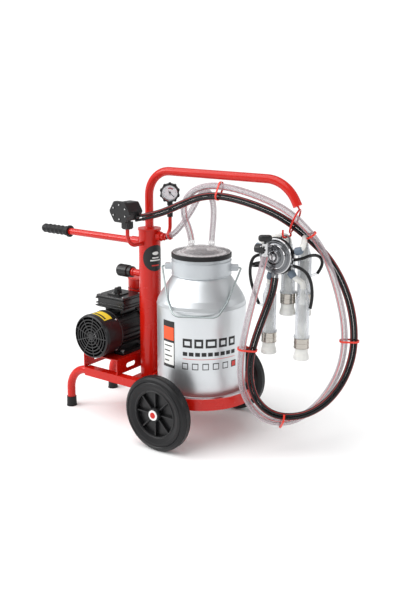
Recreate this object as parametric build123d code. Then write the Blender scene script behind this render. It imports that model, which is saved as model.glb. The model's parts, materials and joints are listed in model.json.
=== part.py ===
"""Mobile bucket milking machine: wheeled frame, vacuum pump set, milk can and one milking cluster.

Millimetres, +Z up. The origin is on the floor in the middle of the overall length and width.
+X points from the handle to the end of the hanger arm. The two wheels stand at -Y and +Y.
"""
from build123d import *
import os
from math import cos, pi, radians, sin, tan

os.makedirs("parts", exist_ok=True)

# ---- Driving dimensions ----
GAP = 0.4                    # between parts that move past each other
RUNNING = 0.05               # radial clearance of a shaft in its bearing

AXLE_X = 155
AXLE_R = 10
WHEEL_R = 125
WHEEL_Y = 224.5
WHEEL_WIDTH = 44
RIM_R = 82.4
HUB_HALF = 23.8
HUB_R = 21
RIBS = 8

RAIL_Y = 114
RAIL_SIZE = 30
RAIL_Z = 154
RAIL_WALL = 2
RAIL_REAR_X = -260
LEG_BEND_R = 85
LEG_X = RAIL_REAR_X - LEG_BEND_R
LEG_R = 15
FOOT_R = 18
FOOT_H = 36
FOOT_SOLE = 7

CAN_X = 168
RING_R = 182
RING_WALL = 5
RING_BOTTOM = 135
RING_TOP = 172.5
FLOOR_SHEET = 4

COLUMN_X = -54.5
COLUMN_R = 38
COLUMN_WALL = 2.5
COLUMN_FOOT_Z = 139
COLUMN_FOOT_SHEET = 6
COLUMN_TOP = 682
CAP_R = 40.5
CAP_SHEET = 6

ARM_R = 14.5
ARM_WALL = 2
ARM_Z = 883
ARM_CORNER_X = 487
ARM_END = (528, 0, 806)
ARM_BEND_R = 90
ARM_DROP_R = 115

HANDLE_Z = 630
HANDLE_R = 12.5
HANDLE_TUBE_END = -564
GRIP_START = -438
GRIP_END = -577
GRIP_R = 17

BRANCH_Y = 116               # the two small pipes beside the column
BRANCH_R = 6.5
BRANCH_BORE = 4.5
BRANCH_Z = 633
BRANCH_BEND_R = 42
PULSATOR_PIPE_TOP = 697
GAUGE_PIPE_TOP = 706

PULSATOR_Z = 755
PULSATOR_TURN = -6          # degrees about the pipe, towards the handle
GAUGE_Z = 792
GAUGE_TURN = 36              # the dial is turned this far from -Y towards +X
DIAL_R = 25

BRACKET_X0 = -265
BRACKET_X1 = -105
BRACKET_HALF_Y = 126
BRACKET_TOP = 224
BRACKET_SHEET = 4

MOTOR_X = -191
MOTOR_Z = 304
COWL_Y0 = -165
COWL_Y1 = -86                # where the housing starts; the cowl's skirt laps over it
HOUSING_Y1 = 50
MOTOR_R = 68
SHIELD_R = 74
COWL_R = 78
SHAFT_R = 9
FOOT_SPACING_X = 55
FOOT_Y = (-62, 38)
PUMP_Y1 = 165
PUMP_R = 62
CHAMBER_R = 46
CHAMBER_OFFSET = 6

BOX_TOP = 428
BOX_BOTTOM = 384
BOX_X0 = -254
BOX_X1 = -128
BOX_Y0 = -62
BOX_Y1 = 48
SWITCH_X = -190
SWITCH_Y = -18

REGULATOR_Z = 515
OUTLET_Z = 657

CAN_R = 150
CAN_WALL = 2.5
CAN_BOTTOM = RING_BOTTOM + FLOOR_SHEET
NECK_R = 95
COLLAR_R = 99.5
COLLAR_BOTTOM = 549
COLLAR_TOP = 609
EAR_TURN = 28.5              # the two ears stand along this direction from +X
EAR_Z = 573
GASKET_R = 100.7
LID_Z = 622
NIPPLE_REACH = 34
NIPPLE_TOP = 660

BAIL_WIRE_R = 3
BAIL_LENGTH = 202.5
BAIL_REST = 49.3               # degrees out from hanging straight down, leaning on the can

CLAW = (480, -34, 654)
CLAW_R = 56
CUPS = (                     # x, y and mouth height of each teat cup
    (442, -13, 331),
    (552, 1, 327),
    (487, 22, 457),
    (529, 50, 455),
)
SHELL_R = 22
SHELL_WALL = 2
CUP_LENGTH = 232
CUP_NIPPLE_Z = 150

MILK_HOSE_D = 22
VACUUM_HOSE_D = 20
PULSE_HOSE_D = 12
SHORT_PULSE_D = 10
TIE_WIDTH = 6
TIE_SHEET = 2
TIE_PLAY = 3                 # clear space between a tie and the hoses in it

LOOP_DIRECTION = Vector(cos(radians(35.9)), sin(radians(35.9)), 0)
LOOP_NORMAL = Vector(sin(radians(35.9)), -cos(radians(35.9)), 0)


def save(shape, name):
    export_step(shape, f"parts/{name}.step")


def group(shapes):
    return Compound(children=list(shapes))


def rod(start, end, radius):
    """A round bar between two points."""
    start = Vector(*start)
    end = Vector(*end)
    along = end - start
    plane = Plane(origin=start, z_dir=along)
    return extrude(plane * Circle(radius), along.length)


def pipe_ring(start, end, radius, bore):
    return rod(start, end, radius) - rod(start, end, bore)


def block(x0, x1, y0, y1, z0, z1):
    return Pos((x0 + x1) / 2, (y0 + y1) / 2, (z0 + z1) / 2) * Box(x1 - x0, y1 - y0, z1 - z0)


def spun(points, axis=Axis.Z):
    """A solid of revolution: points are (radius, height) with the height along the axis."""
    if axis == Axis.Y:
        outline = Polyline(*[(r, h, 0) for r, h in points], close=True)
        return revolve(make_face(outline), Axis.Y)
    if axis == Axis.X:
        outline = Polyline(*[(h, r, 0) for r, h in points], close=True)
        return revolve(make_face(outline), Axis.X)
    outline = Polyline(*[(r, 0, h) for r, h in points], close=True)
    return revolve(make_face(outline), Axis.Z)


def bent_tube(points, radius, bends, bore=0):
    """A round tube along straight runs joined by arcs of the given radii."""
    path = FilletPolyline(*points, radius=bends)
    section = Plane(origin=path @ 0, z_dir=path % 0) * Circle(radius)
    body = sweep(section, path=path)
    if bore:
        inner = Plane(origin=path @ 0, z_dir=path % 0) * Circle(bore)
        body = body - sweep(inner, path=path)
    return body


# ---- Hose routes: every point is chosen along the way the hose lies ----
MILK_ROUTE = [
    (138, -16, 662.4), (133, -18, 694), (112, -23, 742), (115, -24, 792), (151, -20, 831),
    (211, -12, 850), (290, -6, 846), (372, -3, 830), (446, -1, 808), (504, 3, 781),
    (552, 18, 737), (592, 46, 674), (619, 68, 591), (640, 82, 507), (653, 91, 428),
    (655, 92, 350), (641, 84, 270), (606, 60, 190), (560, 26, 132), (506, -10, 102),
    (450, -48, 114), (410, -78, 166), (390, -95, 236), (389, -97, 314), (402, -96, 396),
    (422, -95, 482), (444, -94, 562), (460, -90, 620), (468, -88, 660),
]
PULSE_ROUTE = [
    (-6, -96, 735), (20, -87, 741), (68, -66, 758), (124, -50, 785), (184, -36, 812),
    (252, -24, 821), (326, -14, 811), (396, -2, 793), (456, 10, 770), (506, 20, 741),
    (550, 42, 702), (598, 74, 645), (637, 98, 570), (665, 108, 490), (680, 108, 410),
    (683, 96, 334), (668, 71, 258), (633, 38, 192), (584, 4, 150), (532, -30, 136),
    (484, -60, 146), (445, -78, 180), (421, -84, 230), (414, -83, 290), (418, -75, 350),
    (431, -63, 410), (448, -54, 466), (464, -48, 516), (475, -46, 554), (479, -46, 586),
]
VACUUM_ROUTE = [
    (26, 0, 658), (46, 4, 668), (66, 14, 692), (88, 27, 726), (108, 40, 766),
    (126, 47, 803), (154, 42, 825), (183, 28, 815), (202, 20, 784), (205, 17, 740),
    (201, 16, 698), (198, 16, 662.4),
]
HALF_PAIR = (PULSE_HOSE_D + 0.6) / 2      # each of the twin pulse hoses from the middle of the pair
CLAW_X, CLAW_Y, CLAW_Z = CLAW


def hang(across, front, height):
    """A point of the hanging cluster: across to the right, and out to the front, from the arm's end."""
    place = Vector(ARM_END[0], ARM_END[1], 0) + LOOP_DIRECTION * across + LOOP_NORMAL * front
    return (place.X, place.Y, height)


SHORT_PULSE_ROUTES = [
    [
        hang(-112, -27, 651), hang(-126, -24, 650), hang(-138, -22, 632), hang(-142, -24, 598),
        hang(-136, -29, 560), hang(-124, -34, 524), hang(-111, -38, 492),
    ],
    [
        hang(-14, 44, 631), hang(0, 45, 628), hang(24, 41, 613), hang(40, 36, 586),
        hang(46, 32, 554), hang(47, 30, 522), hang(42, 28, 494),
    ],
    [
        hang(-110, -20, 628), hang(-124, -26, 625), hang(-136, -40, 616), hang(-130, -56, 610),
        hang(-106, -60, 610), hang(-82, -54, 606), hang(-60, -47, 600),
    ],
    [
        hang(-11, 44, 650), hang(8, 38, 650), hang(38, 24, 660), hang(66, 4, 656),
        hang(82, -16, 636), hang(82, -30, 610), hang(70, -36, 590),
    ],
]


def bend_radii(points):
    """For each corner, the largest arc that its two runs allow."""
    runs = [(Vector(*b) - Vector(*a)) for a, b in zip(points, points[1:])]
    radii = []
    for before, after in zip(runs, runs[1:]):
        turn = radians(before.get_angle(after))
        radii.append(0.45 * min(before.length, after.length) / tan(turn / 2))
    return radii


def hose(points, diameter, name):
    """A plain tube along a route; it prints its length, its bends and its share of the ideal volume."""
    radii = bend_radii(points)
    path = FilletPolyline(*points, radius=radii)
    body = sweep(Plane(origin=path @ 0, z_dir=path % 0) * Circle(diameter / 2), path=path)
    share = body.volume / (pi * diameter ** 2 / 4 * path.length)
    print(f"{name}: length {path.length:.0f}, volume {share:.3f}, bend radii", [round(r) for r in radii])
    return body


def beside(points, distance):
    """The same route moved sideways by a distance, square to its own direction."""
    moved = []
    for i, point in enumerate(points):
        ahead = Vector(*points[min(i + 1, len(points) - 1)])
        behind = Vector(*points[max(i - 1, 0)])
        side = (ahead - behind).cross(LOOP_NORMAL).normalized()
        moved.append(tuple(Vector(*point) + side * distance))
    return moved


# ---- Wheels and axle ----
def tyre(side):
    """Solid rubber tyre with a groove near each shoulder."""
    half = WHEEL_WIDTH / 2
    outline = [
        (RIM_R, -half + 5), (RIM_R + 14, -half), (WHEEL_R - 20, -half), (WHEEL_R - 17, -half + 2.5),
        (WHEEL_R - 14, -half), (WHEEL_R - 8, -half + 2), (WHEEL_R - 2, -half + 8), (WHEEL_R, -half + 15),
        (WHEEL_R, half - 15), (WHEEL_R - 2, half - 8), (WHEEL_R - 8, half - 2), (WHEEL_R - 14, half),
        (WHEEL_R - 17, half - 2.5), (WHEEL_R - 20, half), (RIM_R + 14, half), (RIM_R, half - 5),
    ]
    return Pos(AXLE_X, side * WHEEL_Y, WHEEL_R) * spun(outline, Axis.Y)


def rim(side):
    """Moulded rim: outer ring, thin web, hub and radial ribs."""
    half = WHEEL_WIDTH / 2 - 5
    bore = AXLE_R + RUNNING
    body = spun([(RIM_R - 8, -half), (RIM_R, -half), (RIM_R, half), (RIM_R - 8, half)], Axis.Y)
    body += spun([(bore, -2.5), (RIM_R - 7, -2.5), (RIM_R - 7, 2.5), (bore, 2.5)], Axis.Y)
    body += spun([(bore, -HUB_HALF), (HUB_R, -HUB_HALF), (HUB_R, HUB_HALF), (bore, HUB_HALF)], Axis.Y)
    rib = Pos(48, 0, 0) * Box(60, 2 * half - 6, 4)
    for i in range(RIBS):
        body += Rot(0, i * 360 / RIBS, 0) * rib
    return Pos(AXLE_X, side * WHEEL_Y, WHEEL_R) * body


for name, side in (("left", -1), ("right", 1)):
    save(tyre(side), f"tyre_{name}")
    save(rim(side), f"rim_{name}")

hub_out = WHEEL_Y + HUB_HALF + GAP
hub_in = WHEEL_Y - HUB_HALF - GAP
axle = rod((AXLE_X, -hub_out - 3, WHEEL_R), (AXLE_X, hub_out + 3, WHEEL_R), AXLE_R)
washers = []
for side in (-1, 1):
    for near, far in ((hub_in - 2, hub_in), (hub_out, hub_out + 2)):
        washers.append(pipe_ring((AXLE_X, side * near, WHEEL_R), (AXLE_X, side * far, WHEEL_R), 17, AXLE_R))
save(axle, "axle")
save(group(washers), "axle_washers")


# ---- Frame ----
def rail(side):
    """Square rail with a round rear leg that bends down to the floor."""
    y = side * RAIL_Y
    half = RAIL_SIZE / 2
    inner = half - RAIL_WALL
    front = CAN_X
    body = block(RAIL_REAR_X, front, y - half, y + half, RAIL_Z - half, RAIL_Z + half)
    body -= block(RAIL_REAR_X + 3, front, y - inner, y + inner, RAIL_Z - inner, RAIL_Z + inner)
    body -= Pos(CAN_X, 0, RAIL_Z) * Cylinder(RING_R, 4 * RAIL_SIZE)
    route = [(RAIL_REAR_X + 1, y, RAIL_Z), (LEG_X, y, RAIL_Z), (LEG_X, y, FOOT_SOLE)]
    leg = bent_tube(route, LEG_R, LEG_BEND_R)
    return body + leg


def foot(side):
    y = side * RAIL_Y
    outline = [
        (0, 0), (FOOT_R + 1.5, 0), (FOOT_R, 6), (FOOT_R - 0.5, FOOT_H), (LEG_R, FOOT_H),
        (LEG_R, FOOT_SOLE), (0, FOOT_SOLE),
    ]
    return Pos(LEG_X, y, 0) * spun(outline)


for name, side in (("left", -1), ("right", 1)):
    save(rail(side), f"rail_{name}")
save(group([foot(-1), foot(1)]), "rubber_feet")

ring = Pos(CAN_X, 0, (RING_BOTTOM + RING_TOP) / 2) * Cylinder(RING_R, RING_TOP - RING_BOTTOM)
ring -= Pos(CAN_X, 0, (RING_BOTTOM + RING_TOP) / 2) * Cylinder(RING_R - RING_WALL, 2 * RING_TOP)
inside = Pos(CAN_X, 0, RING_BOTTOM + FLOOR_SHEET / 2) * Cylinder(RING_R - 1, FLOOR_SHEET)
bars = Pos(CAN_X, 75, RING_BOTTOM + FLOOR_SHEET / 2) * Box(2 * RING_R, 40, FLOOR_SHEET)
bars += Pos(CAN_X, -75, RING_BOTTOM + FLOOR_SHEET / 2) * Box(2 * RING_R, 40, FLOOR_SHEET)
bars += Pos(CAN_X, 0, RING_BOTTOM + FLOOR_SHEET / 2) * Box(50, 2 * RING_R, FLOOR_SHEET)
save(ring + (bars & inside), "can_cradle")

bracket = block(BRACKET_X0, BRACKET_X1, -BRACKET_HALF_Y, BRACKET_HALF_Y, RAIL_Z + RAIL_SIZE / 2, BRACKET_TOP)
tunnel_top = BRACKET_TOP - BRACKET_SHEET
bracket -= block(BRACKET_X0 + BRACKET_SHEET, BRACKET_X1 - BRACKET_SHEET, -200, 200, 0, tunnel_top)
for x in (BRACKET_X0, BRACKET_X1):
    slot = extrude(Plane.XY * SlotOverall(50, 18, rotation=90), 20, both=True)
    slot = Pos(x, -52, 191) * Rot(0, 90, 0) * slot
    bracket -= slot
for x in (-FOOT_SPACING_X, FOOT_SPACING_X):
    for y in FOOT_Y:
        bracket -= Pos(MOTOR_X + x, y, BRACKET_TOP) * Cylinder(4.5, 20)
save(bracket, "motor_bracket")

inner_z0 = COLUMN_FOOT_Z + COLUMN_FOOT_SHEET
foot_y = RAIL_Y - RAIL_SIZE / 2
column_foot = block(COLUMN_X - 47, COLUMN_X + 47, -foot_y, foot_y, COLUMN_FOOT_Z, inner_z0)
column = column_foot + rod((COLUMN_X, 0, COLUMN_FOOT_Z), (COLUMN_X, 0, COLUMN_TOP), COLUMN_R)
column += rod((COLUMN_X, 0, COLUMN_TOP - CAP_SHEET), (COLUMN_X, 0, COLUMN_TOP), CAP_R)
inner_z1 = COLUMN_TOP - CAP_SHEET
column -= rod((COLUMN_X, 0, inner_z0), (COLUMN_X, 0, inner_z1), COLUMN_R - COLUMN_WALL)
column -= Pos(CAN_X, 0, COLUMN_FOOT_Z) * Cylinder(RING_R, 40)
save(column, "column")
column_space = rod((COLUMN_X, 0, 0), (COLUMN_X, 0, COLUMN_TOP), COLUMN_R)

arm_route = [(COLUMN_X, 0, COLUMN_TOP), (COLUMN_X, 0, ARM_Z), (ARM_CORNER_X, 0, ARM_Z), ARM_END]
arm = bent_tube(arm_route, ARM_R, [ARM_BEND_R, ARM_DROP_R], ARM_R - ARM_WALL)
arm_last = (Vector(*ARM_END) - Vector(ARM_CORNER_X, 0, ARM_Z)).normalized()
plug_start = tuple(Vector(*ARM_END) - arm_last * 3)
arm += rod(plug_start, ARM_END, ARM_R)
save(arm, "hanger_arm")

# A wire loop at the arm's end that the hoses pass through, and the hook below it.
HOOK_WIRE_R = 3
LOOP_R = 38
HOOK_FLOOR_Z = 713.3
loop_plane = Plane(origin=(513, 12, 758), z_dir=(0.9, 0.25, -0.35))
loop_up = Vector(0, 0, 1) - loop_plane.z_dir * loop_plane.z_dir.Z
loop_top = loop_plane.origin + loop_up.normalized() * LOOP_R
loop_bottom = loop_plane.origin - loop_up.normalized() * LOOP_R
hook = loop_plane * Torus(LOOP_R, HOOK_WIRE_R)
hook += rod(ARM_END, tuple(loop_top), HOOK_WIRE_R)
hook_route = [tuple(loop_bottom), (506, 0, HOOK_FLOOR_Z), (504, -46, HOOK_FLOOR_Z), (504, -46, 738)]
hook += bent_tube(hook_route, HOOK_WIRE_R, [8, 12])
save(hook - arm, "hose_hook")

handle = rod((COLUMN_X, 0, HANDLE_Z), (HANDLE_TUBE_END, 0, HANDLE_Z), HANDLE_R)
handle += rod((COLUMN_X, 0, HANDLE_Z), (-132, 0, HANDLE_Z), HANDLE_R + 3)
handle -= rod((COLUMN_X - 20, 0, HANDLE_Z), (HANDLE_TUBE_END + 3, 0, HANDLE_Z), HANDLE_R - 2)
save(handle - column_space, "handle_tube")


def grip():
    """Rubber grip with a collar at the front and ridges for the fingers."""
    outline = [
        (HANDLE_R, GRIP_START), (GRIP_R + 5, GRIP_START), (GRIP_R + 5, GRIP_START - 5),
        (GRIP_R, GRIP_START - 9),
    ]
    ridge = (GRIP_START - 20 - (GRIP_END + 12)) / 5
    for i in range(5):
        x = GRIP_START - 20 - i * ridge
        outline += [(GRIP_R + 1, x), (GRIP_R - 1.5, x - ridge / 2)]
    outline += [
        (GRIP_R, GRIP_END + 8), (GRIP_R - 4, GRIP_END), (0, GRIP_END), (0, HANDLE_TUBE_END),
        (HANDLE_R, HANDLE_TUBE_END),
    ]
    return Pos(0, 0, HANDLE_Z) * spun(outline, Axis.X)


save(grip(), "handle_grip")


def branch_pipe(side, top):
    """Small pipe out of the column's side that turns up to carry an instrument."""
    elbow_y = side * BRANCH_Y
    route = [(COLUMN_X, side * 20, BRANCH_Z), (COLUMN_X, elbow_y, BRANCH_Z), (COLUMN_X, elbow_y, top)]
    return bent_tube(route, BRANCH_R, BRANCH_BEND_R, BRANCH_BORE) - column_space


save(branch_pipe(-1, PULSATOR_PIPE_TOP), "pulsator_pipe")
save(branch_pipe(1, GAUGE_PIPE_TOP), "gauge_pipe")

outlet = rod((COLUMN_X, 0, OUTLET_Z), (22, 0, OUTLET_Z), 9)
hex_nut = Plane(origin=(-17, 0, OUTLET_Z), z_dir=(1, 0, 0)) * RegularPolygon(17, 6)
outlet += extrude(hex_nut, 17)
outlet += rod((0, 0, OUTLET_Z), (12, 0, OUTLET_Z), 13)
outlet -= rod((COLUMN_X, 0, OUTLET_Z), (23, 0, OUTLET_Z), 6)
save(outlet - column_space, "vacuum_outlet")

# ---- Vacuum regulator ----
regulator = rod((COLUMN_X, 0, REGULATOR_Z), (-132, 0, REGULATOR_Z), 12)
regulator += rod((-126, 0, REGULATOR_Z), (-134, 0, REGULATOR_Z), 15)
regulator -= rod((COLUMN_X, 0, REGULATOR_Z), (-140, 0, REGULATOR_Z), 6)
save(regulator - column_space, "regulator_body")
cap_start = -134 - GAP
regulator_cap = spun([
    (0, -110), (6 - RUNNING, -110), (6 - RUNNING, cap_start), (20, cap_start), (20, cap_start - 12),
    (18, cap_start - 13), (18, cap_start - 16), (22.5, cap_start - 18), (22.5, cap_start - 58),
    (19, cap_start - 63), (0, cap_start - 63),
], Axis.X)
for i in range(20):
    groove = Pos(cap_start - 38, 0, 0) * Rot(i * 18, 0, 0) * Pos(0, 0, 23) * Box(38, 2.4, 3)
    regulator_cap -= groove
save(Pos(0, 0, REGULATOR_Z) * regulator_cap, "regulator_cap")

# ---- Vacuum gauge ----
gauge_place = Pos(COLUMN_X, BRANCH_Y, GAUGE_Z) * Rot(0, 0, GAUGE_TURN)
seat_r = DIAL_R + 1.5
boot = spun([
    (0, 14), (33, 14), (33, -12), (29, -16), (seat_r + 0.5, -16), (seat_r, -10), (seat_r, 8), (0, 8),
], Axis.Y)
for i in range(10):
    boot += Rot(0, 18 + i * 36, 0) * Pos(31, -1, 0) * Rot(90, 0, 0) * Cylinder(5.5, 26)
boot -= spun([(0, -30), (seat_r, -30), (seat_r, 8), (0, 8)], Axis.Y)
gauge_case = gauge_place * boot
stem_top = GAUGE_Z - 33
gauge_case += rod((COLUMN_X, BRANCH_Y, stem_top - 12), (COLUMN_X, BRANCH_Y, stem_top + 4), 10)
gauge_case += rod((COLUMN_X, BRANCH_Y, GAUGE_PIPE_TOP), (COLUMN_X, BRANCH_Y, stem_top), 7)
gauge_nut = Plane(origin=(COLUMN_X, BRANCH_Y, GAUGE_PIPE_TOP)) * RegularPolygon(11, 6)
gauge_case += extrude(gauge_nut, 16)
save(gauge_case, "gauge_case")
save(gauge_place * spun([(2, 7), (seat_r, 7), (seat_r, 8), (2, 8)], Axis.Y), "gauge_dial")
save(gauge_place * spun([(0, -9), (seat_r, -9), (seat_r, -7), (0, -7)], Axis.Y), "gauge_lens")
needle = Pos(0, 3, 7) * Box(2, 1, 32)
needle += spun([(0, 2), (3, 2), (3, 4), (2 - RUNNING, 4), (2 - RUNNING, 7.9), (0, 7.9)], Axis.Y)
save(gauge_place * Rot(0, 138, 0) * needle, "gauge_needle")

# ---- Pulsator ----
pulsator_place = Pos(COLUMN_X, -BRANCH_Y, PULSATOR_Z) * Rot(0, 0, PULSATOR_TURN)


def hexagon_block(width, height, corner, y0, y1):
    """A prism along Y with a rounded six-sided outline."""
    w = width / 2
    h = height / 2
    corners = [(-w, 0), (-0.52 * w, h), (0.52 * w, h), (w, 0), (0.52 * w, -h), (-0.52 * w, -h)]
    outline = fillet(make_face(Polyline(*corners, close=True)).vertices(), corner)
    face = Plane(origin=(0, y1, 0), x_dir=(1, 0, 0), z_dir=(0, -1, 0)) * outline
    return extrude(face, y1 - y0)


pulsator_body = hexagon_block(84, 62, 9, -24, 32) - hexagon_block(66, 46, 6, -24, 24)
pulsator_body += Pos(0, 0, -47) * Box(28, 28, 22)
pulsator_body += Pos(0, 0, -34) * Cylinder(12, 10)
pulsator_body -= Pos(0, 0, -48) * Cylinder(4, 26)
pulsator_body = pulsator_place * pulsator_body
for distance in (HALF_PAIR, -HALF_PAIR):
    near, far = [Vector(*point) for point in beside(PULSE_ROUTE, distance)[:2]]
    root = near - (far - near).normalized() * 26
    pulsator_body += pipe_ring(tuple(root), tuple(near), 4.5, 3)
pulsator_body -= pulsator_place * hexagon_block(66, 46, 6, -24, 24)
save(pulsator_body, "pulsator_body")
pulsator_cover = hexagon_block(98, 70, 11, -36, -24)
cover_screws = [(-28, 12), (0, 24), (28, 12), (28, -12), (0, -24), (-28, -12)]
for x, z in cover_screws:
    pulsator_cover -= rod((x, -37, z), (x, -33, z), 4.5)
save(pulsator_place * pulsator_cover, "pulsator_cover")
screws = [rod((x, -36.5, z), (x, -33, z), 4) for x, z in cover_screws]
save(group([pulsator_place * s for s in screws]), "pulsator_screws")
shuttle = rod((-22, 0, 0), (22, 0, 0), 9) - rod((-8, 0, 0), (8, 0, 0), 9.5) + rod((-9, 0, 0), (9, 0, 0), 5)
save(pulsator_place * shuttle, "pulsator_shuttle")

# ---- Motor, pump and their fittings ----


def along_motor(points):
    return Pos(MOTOR_X, 0, MOTOR_Z) * spun(points, Axis.Y)


housing = along_motor([(59, COWL_Y1), (MOTOR_R, COWL_Y1), (MOTOR_R, HOUSING_Y1), (59, HOUSING_Y1)])
for y0, y1 in ((COWL_Y1, COWL_Y1 + 8), (HOUSING_Y1 - 10, HOUSING_Y1)):
    housing += along_motor([(SHAFT_R + RUNNING, y0), (SHIELD_R, y0), (SHIELD_R, y1), (SHAFT_R + RUNNING, y1)])
for i in range(24):
    fin = Pos(MOTOR_X, (COWL_Y1 + HOUSING_Y1) / 2, MOTOR_Z) * Rot(0, i * 15 + 7.5, 0)
    fin *= Pos(MOTOR_R + 1.5, 0, 0)
    if i not in (17, 18, 5, 6):
        housing += fin * Box(9, HOUSING_Y1 - COWL_Y1 - 16, 3)
housing += block(MOTOR_X - 36, MOTOR_X + 36, -46, 34, MOTOR_Z + 60, BOX_BOTTOM)
for x in (-1, 1):
    foot_middle = MOTOR_X + x * FOOT_SPACING_X
    web_middle = MOTOR_X + x * 40
    foot_y0 = FOOT_Y[0] - 14
    foot_y1 = HOUSING_Y1
    housing += block(foot_middle - 16, foot_middle + 16, foot_y0, foot_y1, BRACKET_TOP, BRACKET_TOP + 10)
    housing += block(web_middle - 6, web_middle + 6, foot_y0, foot_y1, BRACKET_TOP, MOTOR_Z - 48)
    for y in FOOT_Y:
        housing -= Pos(MOTOR_X + x * FOOT_SPACING_X, y, BRACKET_TOP) * Cylinder(4.5, 40)
housing -= along_motor([(0, COWL_Y1 + 8), (59, COWL_Y1 + 8), (59, HOUSING_Y1 - 10), (0, HOUSING_Y1 - 10)])
save(housing, "motor_housing")
save(along_motor([(41, -58), (59, -58), (59, 26), (41, 26)]), "motor_stator")

bolts = []
for x in (-FOOT_SPACING_X, FOOT_SPACING_X):
    for y in FOOT_Y:
        at = Pos(MOTOR_X + x, y, 0)
        shank = rod((0, 0, BRACKET_TOP - 9), (0, 0, BRACKET_TOP + 12), 4)
        head = extrude(Plane(origin=(0, 0, BRACKET_TOP + 10)) * RegularPolygon(7.5, 6), 6)
        nut = extrude(Plane(origin=(0, 0, BRACKET_TOP - BRACKET_SHEET - 6)) * RegularPolygon(7.5, 6), 6)
        bolts.append(at * (shank + head + nut))
save(group(bolts), "motor_bolts")

cowl = along_motor([
    (71, COWL_Y0 + 8), (71, COWL_Y0), (COWL_R - 5, COWL_Y0),
    (COWL_R - 1.5, COWL_Y0 + 3), (COWL_R, COWL_Y0 + 10),
    (COWL_R, COWL_Y1 + 6), (SHIELD_R, COWL_Y1 + 6), (SHIELD_R, COWL_Y0 + 14),
])
for radius in (17, 28, 39, 50, 61):
    inner = radius - 2
    outer = radius + 2
    cowl += along_motor([(inner, COWL_Y0), (outer, COWL_Y0), (outer, COWL_Y0 + 3), (inner, COWL_Y0 + 3)])
cowl += along_motor([(0, COWL_Y0), (12, COWL_Y0), (12, COWL_Y0 + 3), (0, COWL_Y0 + 3)])
for i in range(9):
    spoke = Pos(MOTOR_X, COWL_Y0 + 1.5, MOTOR_Z) * Rot(0, i * 40, 0) * Pos(40, 0, 0)
    cowl += spoke * Box(66, 3, 3.4)
save(cowl, "fan_cowl")

rotor = along_motor([(0, -140), (SHAFT_R, -140), (SHAFT_R, PUMP_Y1 - 12), (0, PUMP_Y1 - 12)])
rotor += along_motor([(0, -60), (40, -60), (40, 28), (0, 28)])
save(rotor, "motor_rotor")
fan = along_motor([(SHAFT_R, -134), (18, -134), (18, -104), (SHAFT_R, -104)])
fan += along_motor([(SHAFT_R, -108), (58, -108), (58, -104), (SHAFT_R, -104)])
for i in range(8):
    fan += Pos(MOTOR_X, -120, MOTOR_Z) * Rot(0, i * 45, 0) * Pos(38, 0, 0) * Box(42, 27, 3)
save(fan, "cooling_fan")

box = block(BOX_X0, BOX_X1, BOX_Y0, BOX_Y1, BOX_BOTTOM, BOX_TOP)
box = fillet(box.edges().filter_by(Axis.Z), 10)
box += block(BOX_X0 - 3, BOX_X1 + 3, BOX_Y0 - 3, BOX_Y1 + 3, BOX_TOP - 14, BOX_TOP - 9)
box -= block(BOX_X0 + 4, BOX_X1 - 4, BOX_Y0 + 4, BOX_Y1 - 4, BOX_BOTTOM + 4, BOX_TOP - 4)
box += rod((BOX_X0 + 2, 10, 404), (BOX_X0 - 16, 10, 404), 9)
box += block(SWITCH_X - 27, SWITCH_X + 27, SWITCH_Y - 27, SWITCH_Y + 27, BOX_TOP, BOX_TOP + 5)
box -= rod((SWITCH_X, SWITCH_Y, BOX_TOP - 10), (SWITCH_X, SWITCH_Y, BOX_TOP + 6), 4 + RUNNING)
save(box, "terminal_box")
knob_z = BOX_TOP + 5 + GAP
knob = rod((SWITCH_X, SWITCH_Y, knob_z), (SWITCH_X, SWITCH_Y, knob_z + 8), 14)
knob += rod((SWITCH_X, SWITCH_Y, BOX_TOP - 8), (SWITCH_X, SWITCH_Y, knob_z + 8), 4)
knob += block(SWITCH_X - 5, SWITCH_X + 5, SWITCH_Y - 13, SWITCH_Y + 13, knob_z, knob_z + 21)
save(knob, "switch_knob")

pump = along_motor([
    (0, HOUSING_Y1), (SHIELD_R, HOUSING_Y1), (SHIELD_R, HOUSING_Y1 + 10), (PUMP_R, HOUSING_Y1 + 14),
    (PUMP_R, PUMP_Y1 - 12), (PUMP_R - 8, PUMP_Y1), (0, PUMP_Y1),
])
for y in (74, 92, 110, 128):
    pump += along_motor([(40, y), (PUMP_R + 7, y), (PUMP_R + 7, y + 4), (40, y + 4)])
SUCTION_Y = 118
pump += rod((MOTOR_X, SUCTION_Y, MOTOR_Z), (MOTOR_X + 76, SUCTION_Y, MOTOR_Z), 17)
pump += rod((MOTOR_X, 96, MOTOR_Z), (MOTOR_X, 96, MOTOR_Z + 80), 20)
CHAMBER_Z = MOTOR_Z + CHAMBER_OFFSET
pump -= rod((MOTOR_X, HOUSING_Y1 + 12, CHAMBER_Z), (MOTOR_X, PUMP_Y1 - 12, CHAMBER_Z), CHAMBER_R)
pump -= rod((MOTOR_X, HOUSING_Y1 - 1, MOTOR_Z), (MOTOR_X, HOUSING_Y1 + 20, MOTOR_Z), SHAFT_R + RUNNING)
pump -= rod((MOTOR_X, SUCTION_Y, MOTOR_Z), (MOTOR_X + 90, SUCTION_Y, MOTOR_Z), 8)
pump -= rod((MOTOR_X, 96, CHAMBER_Z), (MOTOR_X, 96, MOTOR_Z + 90), 10)
save(pump, "pump_body")

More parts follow.
